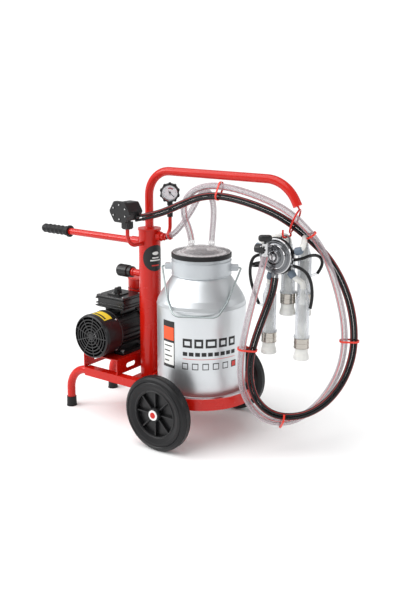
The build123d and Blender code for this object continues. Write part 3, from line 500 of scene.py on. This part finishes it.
def studio():
    """White surroundings, a broad soft light from above and two strips for highlights."""
    sun = bpy.data.objects.new("sky", bpy.data.lights.new("sky", "SUN"))
    sun.data.energy = 2.5
    sun.data.angle = radians(70)
    sun.rotation_euler = (radians(24), radians(-20), 0)
    bpy.context.collection.objects.link(sun)
    lamp("strip_left", (-2.2, -1.9, 1.9), (-0.1, 0, 0.45), 1.0, 26)
    lamp("strip_right", (2.9, 0.9, 1.7), (0.2, 0, 0.45), 0.9, 16)
    world = bpy.data.worlds.new("room")
    bpy.context.scene.world = world
    bpy.context.scene.view_settings.view_transform = "Standard"
    world.use_nodes = True
    tree = world.node_tree
    background = tree.nodes["Background"]
    background.inputs["Color"].default_value = (1, 1, 1, 1)
    path = tree.nodes.new("ShaderNodeLightPath")
    ramp = tree.nodes.new("ShaderNodeMapRange")
    ramp.inputs["To Min"].default_value = 0.52
    ramp.inputs["To Max"].default_value = 1.05
    tree.links.new(path.outputs["Is Camera Ray"], ramp.inputs["Value"])
    tree.links.new(ramp.outputs["Result"], background.inputs["Strength"])
    shape = bmesh.new()
    bmesh.ops.create_grid(shape, x_segments=1, y_segments=1, size=60)
    mesh = bpy.data.meshes.new("floor")
    shape.to_mesh(mesh)
    shape.free()
    floor = bpy.data.objects.new("floor", mesh)
    bpy.context.collection.objects.link(floor)
    surface = Surface("pale_floor", (0.94, 0.94, 0.94), 0.8, **{"Specular IOR Level": 0.2})
    surface.bump(surface.noise(60), 0.02)
    mesh.materials.append(surface.material)


camera()
studio()

# ---- Hose routes, the same points as in the CAD source, in millimetres ----
MILK_ROUTE = [
    (138, -16, 662.4), (133, -18, 694), (112, -23, 742), (115, -24, 792), (151, -20, 831),
    (211, -12, 850), (290, -6, 846), (372, -3, 830), (446, -1, 808), (504, 3, 781),
    (552, 18, 737), (592, 46, 674), (619, 68, 591), (640, 82, 507), (653, 91, 428),
    (655, 92, 350), (641, 84, 270), (606, 60, 190), (560, 26, 132), (506, -10, 102),
    (450, -48, 114), (410, -78, 166), (390, -95, 236), (389, -97, 314), (402, -96, 396),
    (422, -95, 482), (444, -94, 562), (460, -90, 620), (468, -88, 660),
]
PULSE_ROUTE = [
    (-6, -96, 735), (20, -87, 741), (68, -66, 758), (124, -50, 785), (184, -36, 812),
    (252, -24, 821), (326, -14, 811), (396, -2, 793), (456, 10, 770), (506, 20, 741),
    (550, 42, 702), (598, 74, 645), (637, 98, 570), (665, 108, 490), (680, 108, 410),
    (683, 96, 334), (668, 71, 258), (633, 38, 192), (584, 4, 150), (532, -30, 136),
    (484, -60, 146), (445, -78, 180), (421, -84, 230), (414, -83, 290), (418, -75, 350),
    (431, -63, 410), (448, -54, 466), (464, -48, 516), (475, -46, 554), (479, -46, 586),
]
VACUUM_ROUTE = [
    (26, 0, 658), (46, 4, 668), (66, 14, 692), (88, 27, 726), (108, 40, 766),
    (126, 47, 803), (154, 42, 825), (183, 28, 815), (202, 20, 784), (205, 17, 740),
    (201, 16, 698), (198, 16, 662.4),
]
LOOP_TURN = radians(35.9)            # the plane of the hoses' big loop, about Z
LOOP_DIRECTION = Vector((cos(LOOP_TURN), sin(LOOP_TURN), 0))
LOOP_NORMAL = Vector((sin(LOOP_TURN), -cos(LOOP_TURN), 0))
HALF_PAIR = 6.3                      # half the distance between the twin pulse hoses
MILK_HOSE_R = 0.011
VACUUM_HOSE_R = 0.010
PULSE_HOSE_R = 0.006
SHORT_HOSE_R = 0.005


def hang(sideways, front, height):
    place = Vector((528, 0, 0)) + LOOP_DIRECTION * sideways + LOOP_NORMAL * front
    return (place.x, place.y, height)


SHORT_PULSE_ROUTES = [
    [
        hang(-112, -27, 651), hang(-126, -24, 650), hang(-138, -22, 632), hang(-142, -24, 598),
        hang(-136, -29, 560), hang(-124, -34, 524), hang(-111, -38, 492),
    ],
    [
        hang(-14, 44, 631), hang(0, 45, 628), hang(24, 41, 613), hang(40, 36, 586),
        hang(46, 32, 554), hang(47, 30, 522), hang(42, 28, 494),
    ],
    [
        hang(-110, -20, 628), hang(-124, -26, 625), hang(-136, -40, 616), hang(-130, -56, 610),
        hang(-106, -60, 610), hang(-82, -54, 606), hang(-60, -47, 600),
    ],
    [
        hang(-11, 44, 650), hang(8, 38, 650), hang(38, 24, 660), hang(66, 4, 656),
        hang(82, -16, 636), hang(82, -30, 610), hang(70, -36, 590),
    ],
]


def beside(points, distance):
    """The same route moved sideways by a distance, square to its own direction."""
    moved = []
    for i, point in enumerate(points):
        ahead = Vector(points[min(i + 1, len(points) - 1)])
        behind = Vector(points[max(i - 1, 0)])
        side = (ahead - behind).cross(LOOP_NORMAL).normalized()
        moved.append(tuple(Vector(point) + side * distance))
    return moved


def curve_line(name, points, radius, resolution=8, sides=6):
    """A smooth line with the route's points as its control points, and a round section."""
    data = bpy.data.curves.new(name, "CURVE")
    data.dimensions = "3D"
    spline = data.splines.new("NURBS")
    spline.points.add(len(points) - 1)
    for control, point in zip(spline.points, points):
        control.co = (*(Vector(point) / 1000), 1)
    spline.order_u = 3
    spline.use_endpoint_u = True
    data.resolution_u = resolution
    data.bevel_depth = radius
    data.bevel_resolution = sides
    data.use_fill_caps = True
    line = bpy.data.objects.new(name, data)
    bpy.context.collection.objects.link(line)
    return line


def line_points(points):
    """Points along the smooth line of a route."""
    line = curve_line("measure", points, 0)
    bpy.context.view_layer.update()
    mesh = bpy.data.meshes.new_from_object(line)
    places = [vertex.co.copy() for vertex in mesh.vertices]
    bpy.data.meshes.remove(mesh)
    bpy.data.objects.remove(line)
    return places


def length_of(places):
    return sum((b - a).length for a, b in zip(places, places[1:]))


def sweep(name, places, radius, paint, body, sides=24, inner=0.0):
    """A tube mesh along points, with its own section at each of them; inner makes it hollow."""
    vertices = []
    side = None
    sections = []
    for i, place in enumerate(places):
        along = (places[min(i + 1, len(places) - 1)] - places[max(i - 1, 0)]).normalized()
        if side is None:
            side = across(along)[0]
        side = (side - along * side.dot(along)).normalized()
        sections.append((place, side.copy(), along.cross(side)))
    radii = [radius, inner] if inner else [radius]
    for reach in radii:
        for place, first, second in sections:
            for k in range(sides):
                turn = 2 * pi * k / sides
                vertices.append(place + (first * cos(turn) + second * sin(turn)) * reach)
    faces = []
    count = len(sections)
    for layer in range(len(radii)):
        base = layer * count * sides
        for i in range(count - 1):
            for k in range(sides):
                m = (k + 1) % sides
                a = base + i * sides
                b = a + sides
                faces.append((a + k, a + m, b + m, b + k))
    for end in (0, count - 1):
        outer = end * sides
        if inner:
            inside = count * sides + end * sides
            for k in range(sides):
                m = (k + 1) % sides
                faces.append((outer + k, outer + m, inside + m, inside + k))
        else:
            faces.append(tuple(range(outer, outer + sides)))
    return add_mesh(name, vertices, faces, paint, body, 60)


def stripe(name, places, radius, turn_degrees, width, paint, body="frame"):
    """A thin coloured line along a hose's wall, at an angle about the hose from the loop's normal."""
    vertices = []
    for i, place in enumerate(places):
        along = (places[min(i + 1, len(places) - 1)] - places[max(i - 1, 0)]).normalized()
        first = (LOOP_NORMAL - along * LOOP_NORMAL.dot(along)).normalized()
        second = along.cross(first)
        for k in (-1, -0.33, 0.33, 1):
            turn = radians(turn_degrees) + k * width / 2 / radius
            vertices.append(place + (first * cos(turn) + second * sin(turn)) * (radius + 0.00025))
    faces = []
    for i in range(len(places) - 1):
        for k in range(3):
            a = 4 * i + k
            faces.append((a, a + 1, a + 5, a + 4))
    return add_mesh(name, vertices, faces, paint, body, 60)


def free_piece(piece):
    """Takes a piece off its body."""
    world = piece.matrix_world.copy()
    piece.parent = None
    piece.matrix_world = world
    if "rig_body" in piece:
        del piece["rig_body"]


def clear_hose(name, node, route, radius, stripes):
    """A clear hollow hose along a route, in place of the CAD hose it hides, taken off every body.

    Each stripe is an angle, a width and a paint.
    """
    places = line_points(route)
    wall = sweep(name, places, radius, "tube", "frame", 28, radius * 0.72)
    free_piece(wall)
    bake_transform(wall)
    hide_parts(node)
    for k, (turn, width, paint) in enumerate(stripes):
        line = stripe(f"{name}_stripe_{k}", places, radius, turn, width, paint)
        free_piece(line)
        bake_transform(line)


clear_hose("clear_milk_hose", "milk_hose", MILK_ROUTE, MILK_HOSE_R,
           ((35, 0.0022, "pink_stripe"), (-150, 0.0018, "pink_stripe")))
clear_hose("clear_vacuum_hose", "vacuum_hose", VACUUM_ROUTE, VACUUM_HOSE_R,
           ((150, 0.002, "pink_stripe"),))

for name, distance in (("inner", HALF_PAIR), ("outer", -HALF_PAIR)):
    route = beside(PULSE_ROUTE, distance)
    hose = curve_line(f"black_pulse_hose_{name}", route, PULSE_HOSE_R)
    hose.data.materials.append(PAINT["hose_black"])
    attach(hose, "frame")
    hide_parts(f"pulse_hose_{name}")
    pulse_places = line_points(route)
    stripe(f"pulse_stripe_{name}", pulse_places, PULSE_HOSE_R, 40 if name == "inner" else -30, 0.0018,
           "stripe")

for i, route in enumerate(SHORT_PULSE_ROUTES):
    hose = curve_line(f"short_black_hose_{i + 1}", route, SHORT_HOSE_R)
    hose.data.materials.append(PAINT["hose_black"])
    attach(hose, "frame")
    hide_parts("short_pulse_hoses")
    round(length_of(line_points(route)), 3)

# ---- Short milk tubes from the teat cups to the claw, in millimetres ----
CUPS = ((442, -13, 331), (552, 1, 327), (487, 22, 457), (529, 50, 455))    # the centre of each mouth
CUP_LENGTH = 230                                                         # from its mouth to its tube
NIPPLE_RING = Vector((480, -27, 654))                                    # the claw's nipples lie round it
NIPPLE_REACH = 72
NIPPLE_ANGLES = (-112, -48, 165, 17)
TUBE_RISES = (12, 16, 34, 34)                                            # straight up before the bend
for i, ((x, y, mouth), angle, rise) in enumerate(zip(CUPS, NIPPLE_ANGLES, TUBE_RISES)):
    turn = radians(angle)
    outward = Vector((cos(turn), 0, sin(turn)))
    nipple = NIPPLE_RING + outward * NIPPLE_REACH
    top = Vector((x, y, mouth + CUP_LENGTH))
    route = [top, top + Vector((0, 0, rise)), nipple + outward * 16, nipple - outward * 8]
    tube = curve_line(f"short_milk_tube_{i + 1}", route, 0.009, 12)
    tube.data.materials.append(PAINT["silicone"])
    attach(tube, "frame")
    collar_at = (nipple - outward * 10) / 1000
    lathe(f"claw_nipple_boot_{i + 1}", [(0.0098, 0), (0.0125, 0.002), (0.0118, 0.016), (0.0095, 0.022)],
          collar_at, outward, "grey_blue", segments=32)


# ---- The can: prints, seams and the valve parts under its lid ----
def can_details():
    patch("can_side_panel", CAN_X, CAN_R, -110, -90, 0.258, 0.416, "ink")
    patch("can_side_panel_band", CAN_X, CAN_R, -109, -91, 0.352, 0.396, "orange", lift=PRINT_LIFT)
    patch("can_side_panel_field", CAN_X, CAN_R, -109, -91, 0.268, 0.344, "white", lift=PRINT_LIFT)
    for row, (start, end) in enumerate(((-107, -94), (-107, -97), (-107, -94), (-107, -99))):
        z = 0.334 - row * 0.017
        patch(f"can_side_panel_line_{row}", CAN_X, CAN_R, start, end, z - 0.004, z, "ink", lift=0.0010)
    # Two rows of plain blocks in place of the printed words.
    heading = ((-78, -66), (-63, -52), (-49, -35), (-32, -21), (-18, -8))
    for k, (start, end) in enumerate(heading):
        patch(f"can_heading_{k}", CAN_X, CAN_R, start, end, 0.336, 0.366, "ink")
        patch(f"can_heading_gap_{k}", CAN_X, CAN_R, start + 2.5, end - 2.5, 0.344, 0.358, "can",
              lift=PRINT_LIFT)
    for k in range(9):
        start = -78 + k * 8
        patch(f"can_subheading_{k}", CAN_X, CAN_R, start, start + 6, 0.308, 0.321, "ink")
    patch("can_rule", CAN_X, CAN_R, -78, -8, 0.297, 0.2985, "red_ink")
    for k in range(6):
        start = -79 + k * 13
        patch(f"can_badge_{k}", CAN_X, CAN_R, start, start + 8, 0.262, 0.284, "ink")
        patch(f"can_badge_field_{k}", CAN_X, CAN_R, start + 1, start + 7, 0.265, 0.281,
              "red_ink" if k == 5 else "can", lift=PRINT_LIFT)
    for z, wire in ((0.167, 0.0012), (0.4535, 0.0010)):
        ring(f"can_seam_{round(z * 1000)}", (CAN_X, 0, z), (0, 0, 1), CAN_R, wire, "can", segments=128)
    collar_low, collar_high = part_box("can_collar")
    ring("collar_lip", (CAN_X, 0, collar_high.z - 0.011), (0, 0, 1), 0.0992, 0.0014, "casting", segments=128)
    ring("collar_foot", (CAN_X, 0, collar_low.z + 0.003), (0, 0, 1), 0.0990, 0.0016, "casting", segments=128)
    for side in (-1, 1):
        ear = EARS + EAR_AXIS * side * 0.109
        lathe(f"ear_boss_{side + 2}", [
            (0.0085, -0.0145), (0.0095, -0.0135), (0.0095, 0.0135), (0.0085, 0.0145),
        ], ear, EAR_AXIS, "casting", segments=32)
        root = EARS + EAR_AXIS * side * 0.099
        for lift in (-1, 1):
            lathe(f"ear_gusset_{side + 2}_{lift + 2}", [
                (0.0, 0.0), (0.006, 0.0), (0.0035, 0.016), (0.0, 0.020),
            ], root + UP * (lift * 0.009), EAR_AXIS * side - UP * (lift * 0.7), "casting", segments=20)


def lid_details():
    foot = Vector((CAN_X, 0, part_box("can_lid")[0].z))
    ring("lid_rim_inner", foot + UP * 0.0045, UP, 0.0705, 0.0016, "lid", "lid", segments=96)
    ring("lid_rim_outer", foot + UP * 0.0042, UP, 0.0955, 0.0013, "lid", "lid", segments=96)
    for side in (-1, 1):
        base = foot + UP * 0.0155 + EAR_AXIS * side * 0.034
        lathe(f"lid_nipple_collar_{side + 2}", [
            (0.0118, 0.0), (0.0150, 0.001), (0.0150, 0.006), (0.0122, 0.008), (0.0105, 0.012),
            (0.0092, 0.012),
        ], base, UP, "lid", "lid", 40)
        # The V-shaped valve arms that show dark through the lid.
        for lean in (-1, 1):
            lathe(f"lid_valve_arm_{side + 2}_{lean + 2}", [
                (0.0, 0.0), (0.0036, 0.0), (0.0036, 0.018), (0.0, 0.018),
            ], base - UP * 0.019, (lean * 0.55, 0.1, 0.8), "dark_parts_and_painted_shade", "lid", 20)
        lathe(f"lid_nipple_foot_{side + 2}", [
            (0.0118, -0.004), (0.0170, -0.006), (0.0170, -0.002), (0.0118, 0.002),
        ], base, UP, "white", "lid", 40)
        lathe(f"lid_valve_cap_{side + 2}", [(0.0, 0.0), (0.013, 0.0), (0.013, 0.003), (0.0, 0.003)],
              base - UP * 0.021, UP, "dark_parts_and_painted_shade", "lid", 32)
    # A pale ring under the clear flange: painted light that makes the flange read lighter.
    lathe("lid_flange_painted_light", [(0.060, 0.0), (0.083, 0.0), (0.083, 0.0012), (0.060, 0.0012)],
          foot - UP * 0.0016, UP, "pale", "lid", 96, closed=True)
    # A dark disc under the middle of the clear lid: painted shade for the unlit inside of the can.
    lathe("lid_middle_painted_shade", [(0.0, 0.0010), (0.052, 0.0010), (0.055, 0.0), (0.0, -0.0008)],
          foot + UP * 0.0008, UP, "dark_parts_and_painted_shade", "lid", 64)
    slab("lid_bridge", foot + Vector((-0.019, -0.003, 0.004)), foot + Vector((0.019, 0.003, 0.013)),
         "dark_parts_and_painted_shade", "lid", 0.001, atan2(EAR_AXIS.y, EAR_AXIS.x), (CAN_X, 0, 0))


can_details()
lid_details()


# ---- Column, frame and wheels ----
def column_details():
    badge_angle = -19
    angle = radians(badge_angle)
    disc_patch("column_badge", COLUMN_X, COLUMN_R, angle, 0.581, 0.046, "ink")
    disc_patch("column_badge_mark", COLUMN_X, COLUMN_R, angle, 0.598, 0.012, "white", lift=PRINT_LIFT,
               part=0.5)
    lines = ((19, 0.580, "white"), (30, 0.571, "white"), (22, 0.553, "red_ink"))
    for k, (half, z, paint) in enumerate(lines):
        patch(f"column_badge_line_{k}", COLUMN_X, COLUMN_R, badge_angle - half, badge_angle + half,
              z, z + 0.0045, paint, lift=PRINT_LIFT)
    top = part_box("column")[1].z
    ring("column_cap_edge", (COLUMN_X, 0, top - 0.0062), (0, 0, 1), 0.0392, 0.0012, "red", segments=80)
    ring("arm_weld", (COLUMN_X, 0, top + 0.0008), (0, 0, 1), 0.0155, 0.0026, "red", sides=8, segments=48)
    ring("column_weld", (COLUMN_X, 0, 0.1462), (0, 0, 1), 0.0385, 0.0030, "red", sides=8, segments=64)
    for side in (-1, 1):
        ring(f"branch_weld_{side + 2}", (COLUMN_X, side * 0.0375, 0.633), (0, 1, 0), 0.0075, 0.0022, "red",
             segments=32)
    ring("handle_weld", (COLUMN_X - 0.0375, 0, 0.630), (1, 0, 0), 0.0165, 0.0024, "red", segments=40)
    ring("suction_weld", (COLUMN_X, 0.0375, 0.304), (0, 1, 0), 0.0120, 0.0024, "red", segments=40)


def wheel_details():
    for side, body in ((-1, "wheel_left"), (1, "wheel_right")):
        centre = joint_place(f"{body}_turn")
        outward = Vector((0, side, 0))
        face = centre + outward * 0.0238
        lathe(f"{body}_hub_step", [(0.0205, -0.006), (0.0235, -0.005), (0.0235, -0.0045), (0.0205, 0.0)],
              face - outward * 0.001, outward, "plastic", body, 48)
        ring(f"{body}_rim_edge", centre + outward * 0.0172, (0, 1, 0), 0.0785, 0.0018, "plastic", body,
             segments=96)
        ring(f"{body}_tyre_groove_inner", centre + outward * 0.0213, (0, 1, 0), 0.1005, 0.0010, "tyre", body,
             segments=128)
        for k in range(3):
            ring(f"{body}_tread_{k}", centre + Vector((0, (k - 1) * 0.010, 0)), (0, 1, 0), 0.1245, 0.0007,
                 "tyre", body, sides=6, segments=128)
        tip = Vector((centre.x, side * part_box("axle")[1].y, centre.z))
        lathe(f"axle_end_{side + 2}", [
            (0.0100, -0.0028), (0.0100, -0.001), (0.0088, -0.00002), (0.0, -0.00001),
        ], tip, outward, "red", segments=40)


column_details()
wheel_details()


# ---- Gauge ----
def gauge_details():
    axis = Vector(JOINTS["gauge_swing"]["axis"]).normalized()
    centre = joint_place("gauge_swing")
    sideways = Vector((-axis.y, axis.x, 0))
    face = centre - axis * 0.0066
    face_r = 0.0235

    def bar(name, turn, near, far, width, paint, lift=0.0):
        out_way = sideways * sin(radians(turn)) + UP * cos(radians(turn))
        side_way = out_way.cross(axis)
        corners = []
        for reach in (near, far):
            for sign in (-1, 1):
                corners.append(face + axis * lift + out_way * reach + side_way * (width / 2) * sign)
        add_mesh(name, corners, [(0, 1, 3, 2)], paint)

    for k in range(25):
        turn = -135 + k * 270 / 24
        long_tick = k % 4 == 0
        bar(f"dial_tick_{k}", turn, face_r * (0.74 if long_tick else 0.84), face_r * 0.94,
            0.0009 if long_tick else 0.0005, "ink")
    for k in range(10):
        bar(f"dial_zone_{k}", -22 + k * 7, face_r * 0.52, face_r * 0.74, 0.0020, "pink_ink", 0.0001)
    for k, (low, high) in enumerate(((0.28, 0.34), (0.42, 0.46))):
        bar(f"dial_print_{k}", 180, face_r * low, face_r * high, 0.010, "ink", 0.0001)
    hubs = (("needle_hub", 0.0, 0.0012, 0.0042), ("needle_pin", 0.0012, 0.0018, 0.0018))
    for name, low, high, reach in hubs:
        lathe(name, [(0.0, low), (reach, low), (reach, high), (0.0, high)], centre - axis * 0.0010, axis,
              "ink", body="needle", segments=28)
    lathe("gauge_bezel", [
        (0.0262, 0.0), (0.0272, -0.002), (0.0285, -0.002), (0.0290, 0.001), (0.0265, 0.002),
    ], centre + axis * 0.0145, axis, "chrome", closed=True)


def pulsator_details():
    turn = atan2(JOINTS["shuttle_slide"]["axis"][1], JOINTS["shuttle_slide"]["axis"][0])
    along = Vector((cos(turn), sin(turn), 0))
    forward = Vector((sin(turn), -cos(turn), 0))
    centre = Vector((COLUMN_X, -0.116, 0.755))
    face = centre + forward * 0.0360
    for x, z in ((-28, 12), (0, 24), (28, 12), (28, -12), (0, -24), (-28, -12)):
        head = face + along * x / 1000 + Vector((0, 0, z / 1000))
        lathe(f"pulsator_screw_head_{x + 30}_{z + 30}", [
            (0.0, -0.001), (0.0026, -0.001), (0.0026, 0.0010), (0.0020, 0.0018), (0.0, 0.0020),
        ], head, forward, "steel", segments=28)
        lathe(f"pulsator_screw_seat_{x + 30}_{z + 30}", [
            (0.0046, 0.0), (0.0062, 0.0002), (0.0060, 0.0009), (0.0046, 0.0011),
        ], head, forward, "plastic", segments=28)
    slab("pulsator_stem_nut", (COLUMN_X - 0.0125, -0.1285, 0.6935), (COLUMN_X + 0.0125, -0.1035, 0.7005),
         "plastic", edge=0.0015, turn=turn)


gauge_details()
pulsator_details()


# ---- Motor and pump ----
def motor_details():
    cowl_low, cowl_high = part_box("fan_cowl")
    steps = 10
    # A plain yellow label and a dark bar on it, each round part of the cowl.
    for name, radius, first_angle, spread, near, far, paint in (
        ("cowl_notice", 0.0784, 52, 46, 0.020, 0.060, "yellow"),
        ("cowl_notice_bar", 0.0787, 56, 38, 0.026, 0.034, "ink"),
    ):
        vertices = []
        for i in range(steps + 1):
            turn = radians(first_angle + spread * i / steps)
            for y in (cowl_low.y + near, cowl_low.y + far):
                vertices.append((MOTOR.x + radius * cos(turn), y, MOTOR.z + radius * sin(turn)))
        faces = [(2 * i, 2 * i + 2, 2 * i + 3, 2 * i + 1) for i in range(steps)]
        add_mesh(name, vertices, faces, paint)
    for y in (cowl_low.y + 0.0135, cowl_high.y - 0.004):
        ring(f"cowl_bead_{round(-y * 1000)}", (MOTOR.x, y, MOTOR.z), (0, 1, 0), 0.0779, 0.0012, "black_paint",
             segments=96)
    for k in range(4):
        turn = radians(45 + 90 * k)
        spot = Vector((MOTOR.x + 0.0778 * cos(turn), cowl_high.y - 0.012, MOTOR.z + 0.0778 * sin(turn)))
        lathe(f"cowl_screw_{k}", [
            (0.0, -0.001), (0.0042, -0.001), (0.0042, 0.0012), (0.0028, 0.0024), (0.0, 0.0026),
        ], spot, (cos(turn), 0, sin(turn)), "steel", segments=24)
    housing_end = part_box("motor_housing")[1].y
    for k in range(4):
        turn = radians(45 + 90 * k)
        spot = Vector((MOTOR.x + 0.0665 * cos(turn), housing_end - 0.010, MOTOR.z + 0.0665 * sin(turn)))
        lathe(f"shield_bolt_{k}", [
            (0.0, -0.012), (0.0055, -0.012), (0.0055, -0.001), (0.0045, 0.0), (0.0, 0.0),
        ], spot, (0, -1, 0), "steel", segments=6)
    pump_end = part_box("pump_body")[1].y
    for k in range(6):
        turn = radians(30 + 60 * k)
        spot = Vector((MOTOR.x + 0.044 * cos(turn), pump_end, MOTOR.z + 0.044 * sin(turn)))
        lathe(f"pump_cover_bolt_{k}", [
            (0.0, -0.001), (0.0065, -0.001), (0.0065, 0.0035), (0.0055, 0.0045), (0.0, 0.0045),
        ], spot, (0, 1, 0), "steel", segments=6)
    lathe("pump_cover_boss", [(0.0, -0.001), (0.022, -0.001), (0.020, 0.003), (0.0, 0.003)],
          (MOTOR.x, pump_end, MOTOR.z), (0, 1, 0), "cast_black", segments=48)


def box_details():
    top = 0.428
    x0 = -0.254
    x1 = -0.128
    slab("box_lid", (x0 - 0.0015, -0.0635, top - 0.010), (x1 + 0.0015, 0.0495, top + 0.0008), "black_paint",
         edge=0.0035)
    for k, (z, reach) in enumerate(((0.3885, 0.0042), (0.3985, 0.0030))):
        low = (x0 - reach, -0.062 - reach, z - 0.0022)
        high = (x1 + reach, 0.048 + reach, z + 0.0022)
        slab(f"box_flange_{k}", low, high, "black_paint", edge=0.0018)
    slab("box_gasket", (x0 + 0.001, -0.061, 0.3835), (x1 - 0.001, 0.047, 0.3865), "rubber", edge=0.001)
    for x in (x0 + 0.010, x1 - 0.010):
        for y in (-0.052, 0.038):
            lathe(f"box_screw_{round(x * 1000) + 300}_{round(y * 1000) + 60}", [
                (0.0, -0.001), (0.0040, -0.001), (0.0040, 0.0010), (0.0030, 0.0018), (0.0, 0.0020),
            ], (x, y, top + 0.0008), (0, 0, 1), "steel", segments=24)
    knob = middle("switch_knob")
    knob_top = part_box("switch_knob")[1].z
    slab("switch_pointer", (knob.x - 0.0008, knob.y - 0.0125, knob_top - 0.001),
         (knob.x + 0.0008, knob.y - 0.002, knob_top + 0.0003), "white", "switch", edge=0)
    half_mark = Vector((0.0012, 0.0012, 0.0002))
    for k in range(5):
        turn = radians(200 + 35 * k)
        spot = Vector((knob.x + 0.021 * cos(turn), knob.y + 0.021 * sin(turn), 0.4332))
        slab(f"switch_mark_{k}", spot - half_mark, spot + half_mark, "white", edge=0)
    gland = Vector((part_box("terminal_box")[0].x, 0.010, 0.404))
    lathe("box_gland_nut", [
        (0.0, -0.001), (0.0105, -0.001), (0.0105, 0.007), (0.0085, 0.009), (0.005, 0.0092),
        (0.005, 0.004), (0.0, 0.004),
    ], gland + Vector((0.010, 0, 0)), (-1, 0, 0), "plastic", segments=24)


def fittings():
    low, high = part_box("silencer")
    centre = middle("silencer")
    wall = (high.y - low.y) / 2
    for z in (low.z + 0.045, low.z + 0.084):
        ring(f"silencer_bead_{round(z * 1000)}", (centre.x, centre.y, z), UP, wall - 0.0010, 0.0014, "red",
             segments=72)
    ring("silencer_joint", (centre.x, centre.y, low.z + 0.048), UP, wall - 0.0016, 0.0010, "ink",
         segments=72)
    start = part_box("suction_pipe")[0].x
    lathe("suction_nut", [(0.0118, 0.0), (0.0175, 0.001), (0.0175, 0.014), (0.0118, 0.015)],
          (start - 0.001, 0.118, MOTOR.z), (1, 0, 0), "red", segments=6)
    lathe("vacuum_hose_clip", [(0.0105, 0.0), (0.0122, 0.0003), (0.0122, 0.0075), (0.0105, 0.0078)],
          (0.030, 0.0008, 0.6595), (22, 4, 10), "red", segments=40)


motor_details()
box_details()
fittings()


# ---- Claw and cups ----
def claw_details():
    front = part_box("claw_cover")[0].y
    for radius, depth, wire, paint in (
        (0.0535, 0.0150, 0.0022, "chrome"), (0.0460, 0.0105, 0.0014, "smoky"),
        (0.0370, 0.0058, 0.0016, "chrome"), (0.0250, 0.0030, 0.0014, "smoky"),
        (0.0175, 0.0004, 0.0010, "chrome"),
    ):
        ring(f"claw_ring_{round(radius * 10000)}", (CLAW.x, front + depth, CLAW.z), (0, 1, 0), radius, wire,
             paint, segments=96)
    lathe("claw_inner_disc", [(0.0, 0.0), (0.034, 0.0), (0.032, -0.003), (0.0, -0.003)],
          (CLAW.x, front + 0.0150, CLAW.z), (0, 1, 0), "dark_parts_and_painted_shade", segments=64)
    lathe("claw_centre", [(0.0, 0.001), (0.0105, 0.001), (0.0100, -0.003), (0.006, -0.0045), (0.0, -0.0048)],
          (CLAW.x, front, CLAW.z), (0, 1, 0), "chrome", segments=48)
    cap_base = Vector((0.4575, -0.088, 0.681))
    lathe("outlet_side_cap", [
        (0.0, 0.0225), (0.0080, 0.0225), (0.0125, 0.0195), (0.0136, 0.0150), (0.0136, 0.0010), (0.0120, 0.0),
        (0.0126, 0.0010), (0.0126, 0.0216), (0.0, 0.0216),
    ], cap_base, (-1, 0, 0), "plastic", segments=40)
    ring("claw_gasket", (CLAW.x, -0.0361, CLAW.z), (0, 1, 0), 0.0560, 0.0024, "rubber", segments=96)


def cup_details():
    beads = ((0.0385, 0.0240, 0.0009), (0.0695, 0.0242, 0.0010), (0.054, 0.0241, 0.0005))
    for i, (x, y, mouth) in enumerate(CUPS):
        place = Vector((x, y, mouth)) / 1000
        for height, radius, wire in beads:
            ring(f"cup_band_bead_{i + 1}_{round(height * 10000)}", place + UP * height, UP, radius, wire,
                 "band", segments=64)
        ring(f"cup_mouth_bead_{i + 1}", place + UP * 0.0035, UP, 0.0242, 0.0016, "silicone", segments=64)
        for k in range(8):
            turn = 2 * pi * k / 8
            spot = place + Vector((0.0250 * cos(turn), 0.0250 * sin(turn), 0.073))
            lathe(f"cup_flange_lug_{i + 1}_{k}", [
                (0.0, -0.001), (0.0021, -0.001), (0.0019, 0.0012), (0.0, 0.0016),
            ], spot, (cos(turn), sin(turn), 0), "shell", segments=12)
        lathe(f"cup_liner_shade_{i + 1}", [
            (0.0152, 0.086), (0.0148, 0.120), (0.0143, 0.176), (0.0145, 0.120),
        ], place, UP, "silicone", segments=40)


claw_details()
cup_details()
